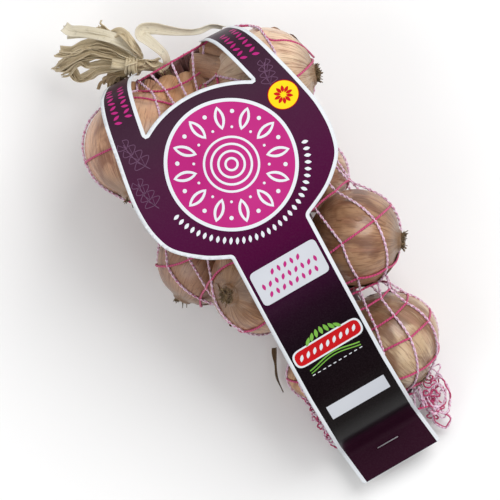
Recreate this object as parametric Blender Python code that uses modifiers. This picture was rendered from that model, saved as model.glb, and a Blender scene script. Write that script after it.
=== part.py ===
"""A string of small pink onions, laid on a table.

Thirteen dried onions hang on a core of their own twisted stems. A knitted
tube net holds them, a tie of raffia closes the stems, and a card wraps the
whole string and is stapled to itself past the last onion.

The drawing's own frame is in millimetres: x is across the card, y runs up
the string towards the stems, z is up from the table, and the origin is
under the centre of the round emblem on the card.
"""
import math

import bmesh
import bpy
import numpy as np
from mathutils import Vector

MM = 0.001

# The middle of the outer box in the drawing's frame, which becomes the origin.
BOX_MIDDLE = (-0.29, -37.19)

# Onions: centre, radius, and the way the neck points.
ONIONS = (
    ("onion_01", (-37, 31.5, 66.5), 30.5, (0.60, 0.75, -0.28)),
    ("onion_02", (38, 29, 65), 28.5, (-0.92, 0.37, -0.08)),
    ("onion_03", (-1, -14, 69), 25, (0.54, 0.56, -0.63)),
    ("onion_04", (-20, -63, 69), 26, (0.67, -0.13, -0.73)),
    ("onion_05", (37.5, -67.5, 62), 26, (-0.83, 0.55, -0.11)),
    ("onion_06", (3, 38, 26), 23, (-0.46, 0.25, 0.86)),
    ("onion_07", (-26, 4, 24), 21, (0.81, 0.14, 0.57)),
    ("onion_08", (-41, -38.2, 30), 23.3, (0.84, 0.53, 0.10)),
    ("onion_09", (34, -27, 27), 20, (-0.70, 0.30, 0.65)),
    ("onion_10", (-1, -46, 22), 16.5, (0.64, 0.45, 0.63)),
    ("onion_11", (4, -82, 24), 19, (-0.01, 0.76, 0.65)),
    ("onion_12", (-16.5, -119, 18.5), 15, (0.18, 0.86, 0.47)),
    ("onion_13", (24.6, -124.5, 33.5), 28, (-0.24, 0.94, 0.23)),
)

# Half of an onion, neck tip to root tuft, for a radius of 1.
ONION_PROFILE = (
    (0.000, 1.220),
    (0.075, 1.215),
    (0.090, 1.120),
    (0.125, 1.020),
    (0.240, 0.925),
    (0.480, 0.815),
    (0.740, 0.620),
    (0.930, 0.340),
    (1.000, 0.020),
    (0.955, -0.290),
    (0.800, -0.570),
    (0.550, -0.780),
    (0.260, -0.885),
    (0.190, -0.950),
    (0.000, -0.990),
)
ONION_SIDES = 14

# The core of stems, from the tie outside the card down between the onions.
CORE_RADIUS = 5.0
CORE_PATH = (
    (-28, 78.5, 49),
    (-25, 76, 49),
    (-19, 72, 50),
    (-13, 68.2, 51),
    (-7, 62.2, 51),
    (-6, 53, 51),
    (-3, 47, 54),
    (0, 41, 57),
    (0, 30, 57),
    (1, 23, 54),
    (3, 17, 51),
    (8, 6, 46),
    (12, -2, 42),
    (12, -13, 39),
    (10, -19, 39),
    (12, -28, 43),
    (14, -37, 48),
    (14, -44, 48),
    (11, -51, 48),
    (6, -60, 46),
)

# Flat dried leaves of the tuft: width, tilt in degrees, and route.
LEAF_THICKNESS = 1.0
LEAVES = (
    (6.5, 80, ((-26, 77, 50.5), (-24, 84, 55), (-25, 92, 54), (-31, 98, 50), (-36, 103, 46), (-41, 107, 43))),
    (6.0, 70, ((-26, 77, 50), (-26, 84, 49), (-33, 91, 44), (-44, 95, 38), (-52, 98, 34))),
    (5.0, 60, ((-26, 77, 49), (-28, 83, 44), (-34, 91, 38), (-41, 92, 33), (-50, 90, 28), (-54, 87, 24))),
    (5.0, 75, ((-26, 77, 48), (-31, 80, 42), (-36, 83, 36), (-41, 85, 30), (-46, 83, 25), (-50, 78, 22))),
    (4.5, 65, ((-26, 77, 47.5), (-33, 78, 38), (-39, 79, 30), (-45, 79, 24), (-51, 80, 21))),
    (5.5, 70, ((-26, 76.5, 47.5), (-30, 78, 43), (-35, 79, 37), (-38, 75, 30), (-39, 68.5, 25))),
    (5.0, 75, ((-26, 77, 48), (-26, 82, 44), (-28, 86, 39), (-32, 88, 34), (-38, 88, 29))),
    (5.5, 78, ((-26, 77, 49.5), (-29, 82, 52), (-35, 88, 51), (-42, 91, 47), (-50, 92.5, 42))),
    (5.0, 68, ((-26, 76.5, 47), (-32, 76.5, 40), (-36, 72.5, 33), (-41, 70, 27))),
)

# The flat raffia ribbon that hangs the string.
RIBBON = (
    (4.6, 70, ((-9, 64, 52), (-3, 66.5, 58), (-6, 75, 61), (-11, 80.5, 60), (-9, 85.5, 58),
               (0, 83.5, 54), (11, 76, 46), (20, 71, 37), (28, 68.9, 26), (33, 65.4, 15))),
)

# The raffia tie round the stems.
TIE_PLACE = (-19, 72, 50)
TIE_WAIST = 0.8
TIE_TOWARDS = (-6.0, 3.9, -1.0)
TIE_TURNS = 3
TIE_PITCH = 2.2

# The net: two end rings and the mesh between them.
NET_WALES = 18
NET_ROWS = 18
STRAND = 0.9
NET_TOP = ((-1, 62.5, 54), (21, 0, 0), (0, 0, 10))
NET_END = ((-1, -158, 12), (27, -7, 0), (0, 0, 3))
NET_AXIS = ((-1, 62.5, 54), (0, 20, 50), (0, -60, 48), (4, -110, 36), (-1, -158, 12))
NET_TOP_BUNCH = 0.6
RING_PULL = 1.5
NET_PULLS = ((300, 0.5), (200, 0.15), (200, 0.04), (200, 0.01), (60, 0.0))
OVER_ONION = 1.1
OVER_TABLE = 2.0

# The loose end of the net past its knot.
TAIL_STRAND = 0.7
KNOT_PLACE = (28.6, -168.6, 12.0)
NET_TAIL = (
    ((28, -168, 12), (33, -173, 12), (38, -169, 10), (41, -161, 9), (39, -153, 8), (35.5, -158, 7), (32, -166, 10)),
    ((29, -169, 12), (34, -176, 9), (29, -180, 6), (25, -174, 7), (28, -168, 12)),
)

# The card: its route in y and z, as the middle of its thickness.
CARD_THICKNESS = 0.6
CARD_ROUTE = (
    (-184, 14.4), (-177, 13.2), (-170, 12.4), (-165.5, 13.6), (-162.4, 20), (-160.4, 29), (-157.4, 43),
    (-151, 55.0), (-143, 61.6), (-128, 70.0), (-110, 80.2), (-92, 90.4), (-78, 97.0), (-62, 100.2),
    (-40, 100.4), (-14, 100.6), (8, 101.4), (26, 102.8), (38, 102.0), (49.5, 97.6), (59, 88.4), (63.8, 76),
    (65.4, 64), (65.6, 50), (65.2, 34), (63, 19.5), (58.4, 8.4), (52, 2.4), (45, 0.4), (38, 0.3), (28, 0.3),
    (0, 0.3), (-60, 0.3), (-118, 0.3), (-132, 0.3), (-140, 0.4), (-148, 1.0), (-156, 3.0), (-162, 6.6),
    (-166.5, 10.0), (-170, 11.4), (-177, 12.2), (-184, 13.4),
)
FRONT_OUTLINE = (
    (22.5, -43.5), (36.6, -37.6), (44.5, -31.5), (53.0, -23.3), (56.7, -9.0), (56.7, 6.4),
    (53.8, 21.7), (50.6, 36.6), (47.6, 52.0), (43.6, 70.0),
)
FOLD_HALF_WIDTH = 40.8
TAIL_HALF_WIDTH = 23.2
HOLE_CORNER = (32.5, 33.0)
HOLE_ARC_RADIUS = 60.9
HOLE_ARC_CENTRE = -18.5
HOLE_HALF_AT_FOLD = 20.7
HOLE_ARC_STEPS = 10
TAIL_SHIFT = -3.5

# The staple through both ends of the card.
STAPLE_Y = -171.0
STAPLE_HALF = 6.2
STAPLE_WIRE = 0.6
STAPLE_HOLE = 1.4

# A loose dry leaf that sticks out of the net beside the tail of the card.
DRY_LEAF = ((3.4, 35, ((-29, -97, 6), (-33, -105, 7), (-36, -112, 5), (-37, -120, 4))),)


def at(point):
    """A point of the drawing, in metres from the origin."""
    x, y, z = point
    return Vector((x - BOX_MIDDLE[0], y - BOX_MIDDLE[1], z)) * MM


def clear_scene():
    for old in list(bpy.data.objects):
        bpy.data.objects.remove(old, do_unlink=True)


def new_collection(name):
    collection = bpy.data.collections.new(name)
    bpy.context.scene.collection.children.link(collection)
    return collection


def new_material(name, colour, roughness, metallic=0.0):
    material = bpy.data.materials.new(name)
    material.use_nodes = True
    shader = material.node_tree.nodes["Principled BSDF"]
    shader.inputs["Base Color"].default_value = (*colour, 1.0)
    shader.inputs["Roughness"].default_value = roughness
    shader.inputs["Metallic"].default_value = metallic
    return material


def new_object(name, data, material, collection):
    made = bpy.data.objects.new(name, data)
    data.materials.append(material)
    collection.objects.link(made)
    return made


def smoothed(points, steps):
    """Points on a smooth curve through the given ones."""
    ends = [2 * np.array(points[0]) - np.array(points[1])]
    last = [2 * np.array(points[-1]) - np.array(points[-2])]
    knots = ends + [np.array(p, float) for p in points] + last
    found = []
    for a, b, c, d in zip(knots, knots[1:], knots[2:], knots[3:]):
        for step in range(steps):
            t = step / steps
            found.append(
                0.5 * (2 * b + (c - a) * t + (2 * a - 5 * b + 4 * c - d) * t**2
                       + (3 * b - a - 3 * c + d) * t**3)
            )
    found.append(knots[-2])
    return found


def add_onion(name, centre, radius, neck, material, collection):
    """A turned onion: neck up its own z axis, root tuft below."""
    mesh = bpy.data.meshes.new(name)
    points = [(r * radius * MM, 0.0, z * radius * MM) for r, z in ONION_PROFILE]
    edges = [(i, i + 1) for i in range(len(points) - 1)]
    mesh.from_pydata(points, edges, [])
    onion = new_object(name, mesh, material, collection)
    onion.location = at(centre)
    onion.rotation_mode = "QUATERNION"
    onion.rotation_quaternion = Vector(neck).to_track_quat("Z", "Y")
    turn = onion.modifiers.new("turn", "SCREW")
    turn.steps = ONION_SIDES
    turn.render_steps = ONION_SIDES
    turn.use_merge_vertices = True
    turn.merge_threshold = 0.00001
    turn.use_smooth_shade = True
    return onion


def route_curve(name, points, depth, extrude=0.0, tilt=0.0, radii=None, sides=2):
    """A tube, or a ribbon when extrude isn't 0, along the points."""
    curve = bpy.data.curves.new(name, "CURVE")
    curve.dimensions = "3D"
    curve.twist_mode = "Z_UP"
    curve.bevel_depth = depth * MM
    curve.extrude = extrude * MM
    curve.bevel_resolution = sides
    curve.use_fill_caps = True
    spline = curve.splines.new("POLY")
    spline.points.add(len(points) - 1)
    for i, point in enumerate(points):
        spline.points[i].co = (*at(point), 1.0)
        spline.points[i].tilt = math.radians(tilt)
        spline.points[i].radius = radii[i] if radii else 1.0
    return curve


def meshed(curve, name, material, collection):
    """The curve's evaluated mesh with its caps welded, as a new object."""
    holder = bpy.data.objects.new(name + "_curve", curve)
    bpy.context.scene.collection.objects.link(holder)
    bpy.context.view_layer.update()
    graph = bpy.context.evaluated_depsgraph_get()
    mesh = bpy.data.meshes.new_from_object(holder.evaluated_get(graph))
    bpy.data.objects.remove(holder, do_unlink=True)
    work = bmesh.new()
    work.from_mesh(mesh)
    bmesh.ops.remove_doubles(work, verts=work.verts, dist=0.000005)
    bmesh.ops.recalc_face_normals(work, faces=work.faces)
    work.to_mesh(mesh)
    work.free()
    mesh.materials.clear()
    return new_object(name, mesh, material, collection)


def united(first, others):
    """Joins the other objects to the first with one Boolean."""
    group = new_collection("joining")
    for other in others:
        for holder in list(other.users_collection):
            holder.objects.unlink(other)
        group.objects.link(other)
    union = first.modifiers.new("join", "BOOLEAN")
    union.operation = "UNION"
    union.operand_type = "COLLECTION"
    union.collection = group
    union.solver = "EXACT"
    union.use_self = True
    bpy.context.view_layer.update()
    graph = bpy.context.evaluated_depsgraph_get()
    mesh = bpy.data.meshes.new_from_object(first.evaluated_get(graph))
    first.modifiers.clear()
    first.data = mesh
    for other in others:
        bpy.data.objects.remove(other, do_unlink=True)
    bpy.data.collections.remove(group)
    return first


def ribbons(rows, prefix, material, collection):
    """Flat leaves or ribbons, one object for each row."""
    made = []
    for number, (width, tilt, route) in enumerate(rows):
        points = smoothed(route, 3)
        half = LEAF_THICKNESS / 2
        curve = route_curve(f"{prefix}_{number}", points, half, width / 2 - half, tilt, sides=0)
        made.append(meshed(curve, f"{prefix}_{number}", material, collection))
    return made


def add_stems(material, collection):
    """The core between the onions, the tuft of leaves and the hanging ribbon."""
    points = smoothed(CORE_PATH, 2)
    radii = [1.0 - 0.08 * (1 + math.cos(1.5 * i)) for i in range(len(points))]
    radii[:7] = [TIE_WAIST] * 7
    curve = route_curve("stems", points, CORE_RADIUS, radii=radii, sides=1)
    core = meshed(curve, "stems", material, collection)
    leaves = ribbons(LEAVES, "leaf", material, collection)
    leaves += ribbons(RIBBON, "ribbon", material, collection)
    return united(core, leaves)


def add_tie(material, collection):
    """Turns of raffia side by side, as one ring with a wavy outside."""
    inner = CORE_RADIUS * TIE_WAIST + 0.5
    half = TIE_TURNS * TIE_PITCH / 2
    steps = TIE_TURNS * 4
    outer = []
    for i in range(steps + 1):
        z = half - i * TIE_PITCH / 4
        outer.append((inner + 0.6 + 0.7 * abs(math.sin(math.pi * i / 4)), z))
    profile = outer + [(inner, -half), (inner, half)]
    mesh = bpy.data.meshes.new("raffia_tie")
    points = [(r * MM, 0.0, z * MM) for r, z in profile]
    count = len(points)
    mesh.from_pydata(points, [(i, (i + 1) % count) for i in range(count)], [])
    tie = new_object("raffia_tie", mesh, material, collection)
    tie.location = at(TIE_PLACE)
    tie.rotation_mode = "QUATERNION"
    tie.rotation_quaternion = Vector(TIE_TOWARDS).to_track_quat("Z", "Y")
    turn = tie.modifiers.new("turn", "SCREW")
    turn.steps = 16
    turn.render_steps = 16
    turn.use_merge_vertices = True
    turn.merge_threshold = 0.00001
    turn.use_smooth_shade = True
    return tie


def start_net():
    """The net's nodes before it is pulled tight: rings round the axis."""
    axis = np.array(smoothed(NET_AXIS, 12))
    along = np.linspace(0, len(axis) - 1, NET_ROWS + 1)
    nodes = np.zeros((NET_ROWS + 1, NET_WALES, 3))
    turn = 2 * np.pi * np.arange(NET_WALES) / NET_WALES
    across, up = np.cos(turn)[:, None], np.sin(turn)[:, None]
    for row, place in enumerate(along):
        middle = axis[int(round(place))]
        nodes[row] = middle + across * np.array((75.0, 0.0, 0.0)) + up * np.array((0.0, 0.0, 56.0))
    for row, bunch, (middle, wide, high) in ((0, NET_TOP_BUNCH, NET_TOP), (NET_ROWS, 0.0, NET_END)):
        bunched = turn - bunch * np.cos(turn)
        across, up = np.cos(bunched)[:, None], np.sin(bunched)[:, None]
        nodes[row] = np.array(middle) + across * np.array(wide) + up * np.array(high)
    return nodes


def pushed_out(points, centres, radii, clear):
    """How far each point must move to keep clear of every onion."""
    move = np.zeros_like(points)
    for centre, radius in zip(centres, radii):
        away = points - centre
        distance = np.linalg.norm(away, axis=-1, keepdims=True)
        short = np.clip(radius + clear - distance, 0, None)
        move += away / np.maximum(distance, 1e-6) * short
    return move


def tightened(nodes, rounds, pull):
    """Pulls the net tight over the onions: strands stay outside them."""
    centres = np.array([row[1] for row in ONIONS], float)
    radii = np.array([row[2] for row in ONIONS], float)
    ends = nodes[[0, -1]].copy()
    for _ in range(rounds):
        nearby = nodes.copy()
        ring = RING_PULL * (np.roll(nodes, 1, 1) + np.roll(nodes, -1, 1))[1:-1]
        nearby[1:-1] = (nodes[:-2] + nodes[2:] + ring) / (2 + 2 * RING_PULL)
        nodes += pull * (nearby - nodes)
        nodes += pushed_out(nodes, centres, radii, OVER_ONION)
        for part in (0.3, 0.5, 0.7):
            ahead = np.roll(nodes, -1, 1)
            move = pushed_out(nodes * (1 - part) + ahead * part, centres, radii, OVER_ONION)
            nodes += 0.8 * (move + np.roll(move, 1, 1))
            move = pushed_out(nodes[:-1] * (1 - part) + nodes[1:] * part, centres, radii, OVER_ONION)
            nodes[:-1] += 0.8 * move
            nodes[1:] += 0.8 * move
        nodes[..., 2] = np.maximum(nodes[..., 2], OVER_TABLE)
        nodes[[0, -1]] = ends
    return nodes


def add_net(material, collection):
    """The tube net, as a lattice of strands on the tightened mesh."""
    nodes = start_net()
    for rounds, pull in NET_PULLS:
        nodes = tightened(nodes, rounds, pull)
    points = [at(p) for p in nodes.reshape(-1, 3)]
    faces = []
    for row in range(NET_ROWS):
        for wale in range(NET_WALES):
            after = (wale + 1) % NET_WALES
            low, high = row * NET_WALES, (row + 1) * NET_WALES
            faces.append((low + wale, low + after, high + after, high + wale))
    mesh = bpy.data.meshes.new("net")
    mesh.from_pydata(points, [], faces)
    net = new_object("net", mesh, material, collection)
    frame = net.modifiers.new("strands", "WIREFRAME")
    frame.thickness = STRAND * MM
    frame.use_boundary = True
    frame.use_replace = True
    frame.use_even_offset = False
    return net


def add_net_tail(material, collection):
    """The knot at the end of the net, with its loose ends."""
    mesh = bpy.data.meshes.new("net_tail")
    work = bmesh.new()
    bmesh.ops.create_icosphere(work, subdivisions=2, radius=2.6 * MM)
    for vert in work.verts:
        vert.co = vert.co + at(KNOT_PLACE)
    work.to_mesh(mesh)
    work.free()
    knot = new_object("net_tail", mesh, material, collection)
    loops = []
    for number, route in enumerate(NET_TAIL):
        curve = route_curve(f"loop_{number}", smoothed(route, 3), TAIL_STRAND, sides=1)
        loops.append(meshed(curve, f"loop_{number}", material, collection))
    return united(knot, loops)


def card_route():
    """Points along the card and how far along it each one is."""
    points = np.array(smoothed(CARD_ROUTE, 4))
    points[:, 1] = np.maximum(points[:, 1], CARD_THICKNESS / 2)
    steps = np.linalg.norm(np.diff(points, axis=0), axis=1)
    along = np.concatenate([[0.0], np.cumsum(steps)])
    top = np.argmin(np.abs(points[:, 0]) + (points[:, 1] < 50) * 999)
    fold = np.argmax(points[:, 0])
    return points, along - along[top], along[fold] - along[top]


def card_outline(start, end, fold):
    """The flat card: its outside edge, as x and distance along it."""
    front = [(TAIL_HALF_WIDTH, start)] + list(FRONT_OUTLINE)
    right = front + [(FOLD_HALF_WIDTH, fold)]
    right += [(x, 2 * fold - s) for x, s in reversed(FRONT_OUTLINE)]
    right.append((TAIL_HALF_WIDTH, end))
    return right + [(-x, s) for x, s in reversed(right)]


def card_hole(fold):
    """The hole that the stems come out of, over the top fold."""
    first = math.asin(HOLE_CORNER[0] / HOLE_ARC_RADIUS)
    arc = []
    for i in range(HOLE_ARC_STEPS + 1):
        turn = first - 2 * first * i / HOLE_ARC_STEPS
        up = HOLE_ARC_CENTRE + HOLE_ARC_RADIUS * math.cos(turn)
        arc.append((HOLE_ARC_RADIUS * math.sin(turn), up))
    left = [(-HOLE_HALF_AT_FOLD, fold)]
    back = [(-x, 2 * fold - s) for x, s in arc]
    right = [(HOLE_HALF_AT_FOLD, fold)]
    return arc + left + back + right


def staple_holes(points, along):
    """Square holes for the staple's legs in both ends of the card."""
    found = []
    half = STAPLE_HOLE / 2
    for tail, places in ((points[:40], along[:40]), (points[:-41:-1], along[:-41:-1])):
        middle = float(np.interp(STAPLE_Y, tail[:, 0], places))
        for side in (-STAPLE_HALF, STAPLE_HALF):
            found.append([(side + dx, middle + dy) for dx, dy in
                          ((-half, -half), (half, -half), (half, half), (-half, half))])
    return found


def sideways(y):
    """The tail lies a little to the left of the emblem, and its end comes back."""
    down = min(max((-43.0 - y) / 25.0, 0.0), 1.0)
    back = min(max((-160.0 - y) / 24.0, 0.0), 1.0)
    return TAIL_SHIFT * (down * down * (3 - 2 * down)) * (1 - 0.85 * back)


def add_card(material, collection):
    """The card: a flat outline, scored across and bent along its route."""
    points, along, fold = card_route()
    loops = [card_outline(along[0], along[-1], fold), card_hole(fold)]
    loops += staple_holes(points, along)
    work = bmesh.new()
    for loop in loops:
        verts = [work.verts.new((x * MM, s * MM, 0.0)) for x, s in loop]
        for a, b in zip(verts, verts[1:] + verts[:1]):
            work.edges.new((a, b))
    bmesh.ops.triangle_fill(work, edges=work.edges, use_beauty=True)
    for place in kept_stations(points, along):
        everything = list(work.verts) + list(work.edges) + list(work.faces)
        bmesh.ops.bisect_plane(work, geom=everything, dist=0.00001,
                               plane_co=(0, place * MM, 0), plane_no=(0, 1, 0))
    bmesh.ops.recalc_face_normals(work, faces=work.faces)
    for vert in work.verts:
        s = vert.co.y / MM
        y = float(np.interp(s, along, points[:, 0]))
        z = float(np.interp(s, along, points[:, 1]))
        vert.co = at((vert.co.x / MM + sideways(y), y, z))
    mesh = bpy.data.meshes.new("label_card")
    work.to_mesh(mesh)
    work.free()
    card = new_object("label_card", mesh, material, collection)
    sheet = card.modifiers.new("card", "SOLIDIFY")
    sheet.thickness = CARD_THICKNESS * MM
    sheet.offset = 0.0
    return card


def kept_stations(points, along):
    """Where to score the card: closer together where it bends more."""
    kept = [0]
    for i in range(1, len(points) - 1):
        before = points[i] - points[kept[-1]]
        after = points[i + 1] - points[i]
        turn = math.atan2(*after) - math.atan2(*before)
        turn = abs((turn + math.pi) % (2 * math.pi) - math.pi)
        if turn > math.radians(6.0) and i > kept[-1] + 1:
            kept.append(i)
    return [float(along[i]) for i in kept[1:]]


def add_staple(material, collection):
    """A wire staple: a crown on the front, legs bent over behind."""
    route = np.array(CARD_ROUTE, float)
    count = len(route) // 2
    top = float(np.interp(STAPLE_Y, route[:count, 0], route[:count, 1]))
    under = route[count:][::-1]
    low = float(np.interp(STAPLE_Y, under[:, 0], under[:, 1]))
    away = CARD_THICKNESS / 2 + STAPLE_WIRE / 2 + 0.35
    high_z, low_z = top + away, low - away
    shift = sideways(STAPLE_Y)
    points = [
        (shift - 1.5, STAPLE_Y, low_z - 0.3),
        (shift - STAPLE_HALF, STAPLE_Y, low_z),
        (shift - STAPLE_HALF, STAPLE_Y, high_z),
        (shift + STAPLE_HALF, STAPLE_Y, high_z),
        (shift + STAPLE_HALF, STAPLE_Y, low_z),
        (shift + 1.5, STAPLE_Y, low_z - 0.3),
    ]
    curve = route_curve("staple", points, STAPLE_WIRE / 2, sides=1)
    return meshed(curve, "staple", material, collection)


def main():
    clear_scene()
    parts = new_collection("onion_string")
    skin = new_material("onion skin", (0.58, 0.36, 0.23), 0.45)
    straw = new_material("dried leaf", (0.62, 0.52, 0.34), 0.75)
    thread = new_material("net thread", (0.62, 0.16, 0.30), 0.60)
    card = new_material("printed card", (0.07, 0.02, 0.05), 0.35)
    steel = new_material("staple steel", (0.65, 0.65, 0.66), 0.30, 1.0)
    for name, centre, radius, neck in ONIONS:
        add_onion(name, centre, radius, neck, skin, parts)
    add_stems(straw, parts)
    add_tie(straw, parts)
    add_net(thread, parts)
    add_net_tail(thread, parts)
    add_card(card, parts)
    add_staple(steel, parts)
    leaf = ribbons(DRY_LEAF, "dry_leaf", straw, parts)[0]
    leaf.name = "dry_leaf"


main()
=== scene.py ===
"""The looks of a string of small pink onions, laid on a pale table.

The drawing's frame is in millimetres: x is across the card, y runs up the
string towards the stems, z is up from the table, and the origin is under the
centre of the round emblem on the card. at() turns it into the model's metres.
"""

import math

import bmesh
import bpy
import numpy as np
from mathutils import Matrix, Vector

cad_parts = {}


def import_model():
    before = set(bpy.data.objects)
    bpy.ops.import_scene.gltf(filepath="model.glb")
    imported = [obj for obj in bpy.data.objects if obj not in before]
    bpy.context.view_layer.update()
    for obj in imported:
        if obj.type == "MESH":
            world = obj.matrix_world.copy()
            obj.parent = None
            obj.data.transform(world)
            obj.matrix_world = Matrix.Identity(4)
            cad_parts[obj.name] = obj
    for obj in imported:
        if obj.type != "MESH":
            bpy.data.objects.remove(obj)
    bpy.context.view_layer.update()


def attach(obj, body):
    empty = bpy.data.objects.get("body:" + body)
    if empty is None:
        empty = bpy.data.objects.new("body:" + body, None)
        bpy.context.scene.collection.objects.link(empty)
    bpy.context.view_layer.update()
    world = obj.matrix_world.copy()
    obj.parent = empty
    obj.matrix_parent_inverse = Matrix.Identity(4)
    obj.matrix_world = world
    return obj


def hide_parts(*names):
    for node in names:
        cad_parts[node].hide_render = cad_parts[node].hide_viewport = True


MM = 0.001
BOX_MIDDLE = np.array((-0.29, -37.19, 0.0))

# Onions: node, centre, radius, way of the neck, skin tint. The darker tints of onion_04, onion_06 and
# onion_08 are partly painted shade, for onions that lie in shade.
ONIONS = (
    ("onion_01", (-37, 31.5, 66.5), 30.5, (0.60, 0.75, -0.28), (0.49, 0.255, 0.14)),
    ("onion_02", (38, 29, 65), 28.5, (-0.92, 0.37, -0.08), (0.57, 0.38, 0.24)),
    ("onion_03", (-1, -14, 69), 25, (0.54, 0.56, -0.63), (0.46, 0.27, 0.17)),
    ("onion_04", (-20, -63, 69), 26, (0.67, -0.13, -0.73), (0.37, 0.180, 0.085)),
    ("onion_05", (37.5, -67.5, 62), 26, (-0.83, 0.55, -0.11), (0.31, 0.160, 0.080)),
    ("onion_06", (3, 38, 26), 23, (-0.46, 0.25, 0.86), (0.36, 0.17, 0.115)),
    ("onion_07", (-26, 4, 24), 21, (0.81, 0.14, 0.57), (0.44, 0.27, 0.18)),
    ("onion_08", (-41, -38.2, 30), 23.3, (0.84, 0.53, 0.10), (0.30, 0.155, 0.090)),
    ("onion_09", (34, -27, 27), 20, (-0.70, 0.30, 0.65), (0.42, 0.25, 0.15)),
    ("onion_10", (-1, -46, 22), 16.5, (0.64, 0.45, 0.63), (0.36, 0.195, 0.115)),
    ("onion_11", (4, -82, 24), 19, (-0.01, 0.76, 0.65), (0.44, 0.26, 0.15)),
    ("onion_12", (-16.5, -119, 18.5), 15, (0.18, 0.86, 0.47), (0.46, 0.24, 0.10)),
    ("onion_13", (24.6, -124.5, 33.5), 28, (-0.24, 0.94, 0.23), (0.43, 0.285, 0.165)),
)
ONION_PROFILE = (
    (0.000, 1.220), (0.075, 1.215), (0.090, 1.120), (0.125, 1.020), (0.240, 0.925), (0.480, 0.815),
    (0.740, 0.620), (0.930, 0.340), (1.000, 0.020), (0.955, -0.290), (0.800, -0.570), (0.550, -0.780),
    (0.260, -0.885), (0.190, -0.950), (0.000, -0.990),
)
ONION_SIDES = 96

# Root hairs: how many most onions have, and how many these two have.
ROOT_COUNT = 110
FEW_ROOTS = 20
FEW_ROOTED = ("onion_01", "onion_08")

# How much painted shade darkens an onion towards its neck, where it lies in shade near the card: as named
# here, or else the first value.
NECK_PAINTED_SHADE = 0.7
NECK_PAINTED_SHADES = {"onion_01": 0.25, "onion_02": 0.35}

# Loose skin: first column, number of columns, top row, bottom row, lift.
FLAKES = {
    "onion_01": ((20, 30, 22, 56, 0.05), (66, 22, 30, 58, 0.04)),
    "onion_02": ((8, 34, 20, 60, 0.07), (50, 26, 26, 58, 0.05)),
    "onion_04": ((14, 28, 26, 60, 0.05), (60, 24, 30, 62, 0.05)),
    "onion_05": ((30, 34, 20, 52, 0.06), (74, 24, 28, 60, 0.05)),
    "onion_08": ((40, 26, 24, 58, 0.05),),
    "onion_13": ((4, 26, 18, 56, 0.05), (52, 30, 22, 58, 0.06)),
}

# Stems between the onions, from the tuft down.
CORE_PATH = (
    (-28, 78.5, 49), (-25, 76, 49), (-19, 72, 50), (-13, 68.2, 51), (-7, 62.2, 51), (-6, 53, 51),
    (-3, 47, 54), (0, 41, 57), (0, 30, 57), (1, 23, 54), (3, 17, 51), (8, 6, 46), (12, -2, 42),
    (12, -13, 39), (10, -19, 39), (12, -28, 43), (14, -37, 48), (14, -44, 48), (11, -51, 48), (6, -60, 46),
)
CORE_STRANDS = 7

# Where the core comes out of the net's mouth, and how many dark skins fill it.
CORE_MOUTH = (-7, 62.2, 51)
STEM_SKINS = 24

# Papery skins from the two upper onions towards the net's mouth: width, slot, route.
NECK_SKINS = (
    (19, 0, ((-24, 38, 80), (-16, 46, 72), (-9, 52, 61), (-4, 55.5, 54))),
    (17, 0, ((-10, 36, 69), (-4, 43, 65), (1, 49, 58), (3, 54, 52))),
    (13, 0, ((-30, 42, 75), (-25, 49, 69), (-20, 55, 59), (-16, 58.5, 53))),
    (12, 0, ((-34, 46, 70), (-29, 54, 64), (-25, 59, 57), (-22, 62, 51))),
    (16, 1, ((11, 34, 60), (11, 43, 60), (10.5, 50, 57), (9, 55, 53))),
    (17, 1, ((28, 40, 84), (20, 47, 73), (13, 53, 60), (8, 57, 53))),
    (15, 1, ((34, 46, 78), (27, 52, 69), (21, 57, 59), (16, 60.5, 54))),
)

# Dried leaves past the tie: width, tilt in degrees, curl of the edges, route.
LEAVES = (
    (6.6, 12, 0.30, ((-14, 72, 53), (-14.2, 79, 57), (-19.5, 87.4, 58), (-26.5, 94.7, 55),
                     (-33.4, 100.5, 51), (-38.6, 103.9, 48), (-40.6, 107.7, 46))),
    (3.6, 30, 0.45, ((-15, 74, 54), (-20.3, 85, 56), (-27.1, 93, 53), (-34, 98.8, 49), (-41.6, 102.6, 44))),
    (5.4, 35, 0.90, ((-14.5, 71.4, 52), (-20.4, 78.7, 53), (-23.7, 85.4, 53), (-29.6, 91.1, 51),
                     (-36.3, 93.7, 47), (-43.2, 94.1, 42), (-49.1, 98, 38))),
    (6.2, 25, 0.80, ((-15.5, 71.4, 51), (-22, 79.6, 50), (-28.7, 85.7, 48), (-34, 90.6, 45),
                     (-41.9, 91.1, 40), (-48.1, 90.8, 34), (-53.3, 90.7, 29))),
    (4.8, 30, 1.00, ((-16.4, 71.5, 50), (-23.6, 78.5, 47), (-29.8, 83.8, 43), (-36.9, 87.4, 39),
                     (-44.3, 88.6, 34), (-51.1, 87.4, 28), (-54.3, 89.1, 24))),
    (5.2, 40, 0.90, ((-17.9, 70.8, 49), (-25.6, 76.8, 46), (-32.9, 80.2, 41), (-39.5, 82.8, 36),
                     (-41.7, 86.1, 32), (-46, 87.5, 28), (-51.6, 91.8, 25))),
    (4.6, 25, 1.00, ((-19.1, 70.5, 48), (-28.7, 75, 43), (-36.5, 77.5, 37), (-42.5, 77.6, 31),
                     (-47.3, 78.9, 27), (-48.8, 82.6, 24), (-48.7, 88.1, 22))),
    (3.8, 50, 1.00, ((-18.9, 70.9, 47), (-27.3, 75.7, 41), (-36.3, 79.4, 35), (-43.5, 79.5, 29),
                     (-48, 80.5, 25), (-48, 85.7, 22), (-53.1, 87.6, 20))),
    (4.6, 30, 0.80, ((-12.6, 72.9, 54), (-13.8, 79.7, 60), (-14.4, 85.6, 62), (-15.9, 90.1, 60),
                     (-19.4, 91.1, 56), (-22.1, 90, 52))),
    (3.2, 40, 0.90, ((-18, 80, 53), (-21.7, 88.8, 54), (-23.5, 92.9, 52), (-23.8, 96.7, 50),
                     (-23.9, 98.4, 49))),
    (6.0, 40, 0.90, ((-18.9, 70.9, 51), (-13.8, 69.5, 53), (-8.8, 67.6, 54), (-5.5, 67.2, 53))),
)
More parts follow.
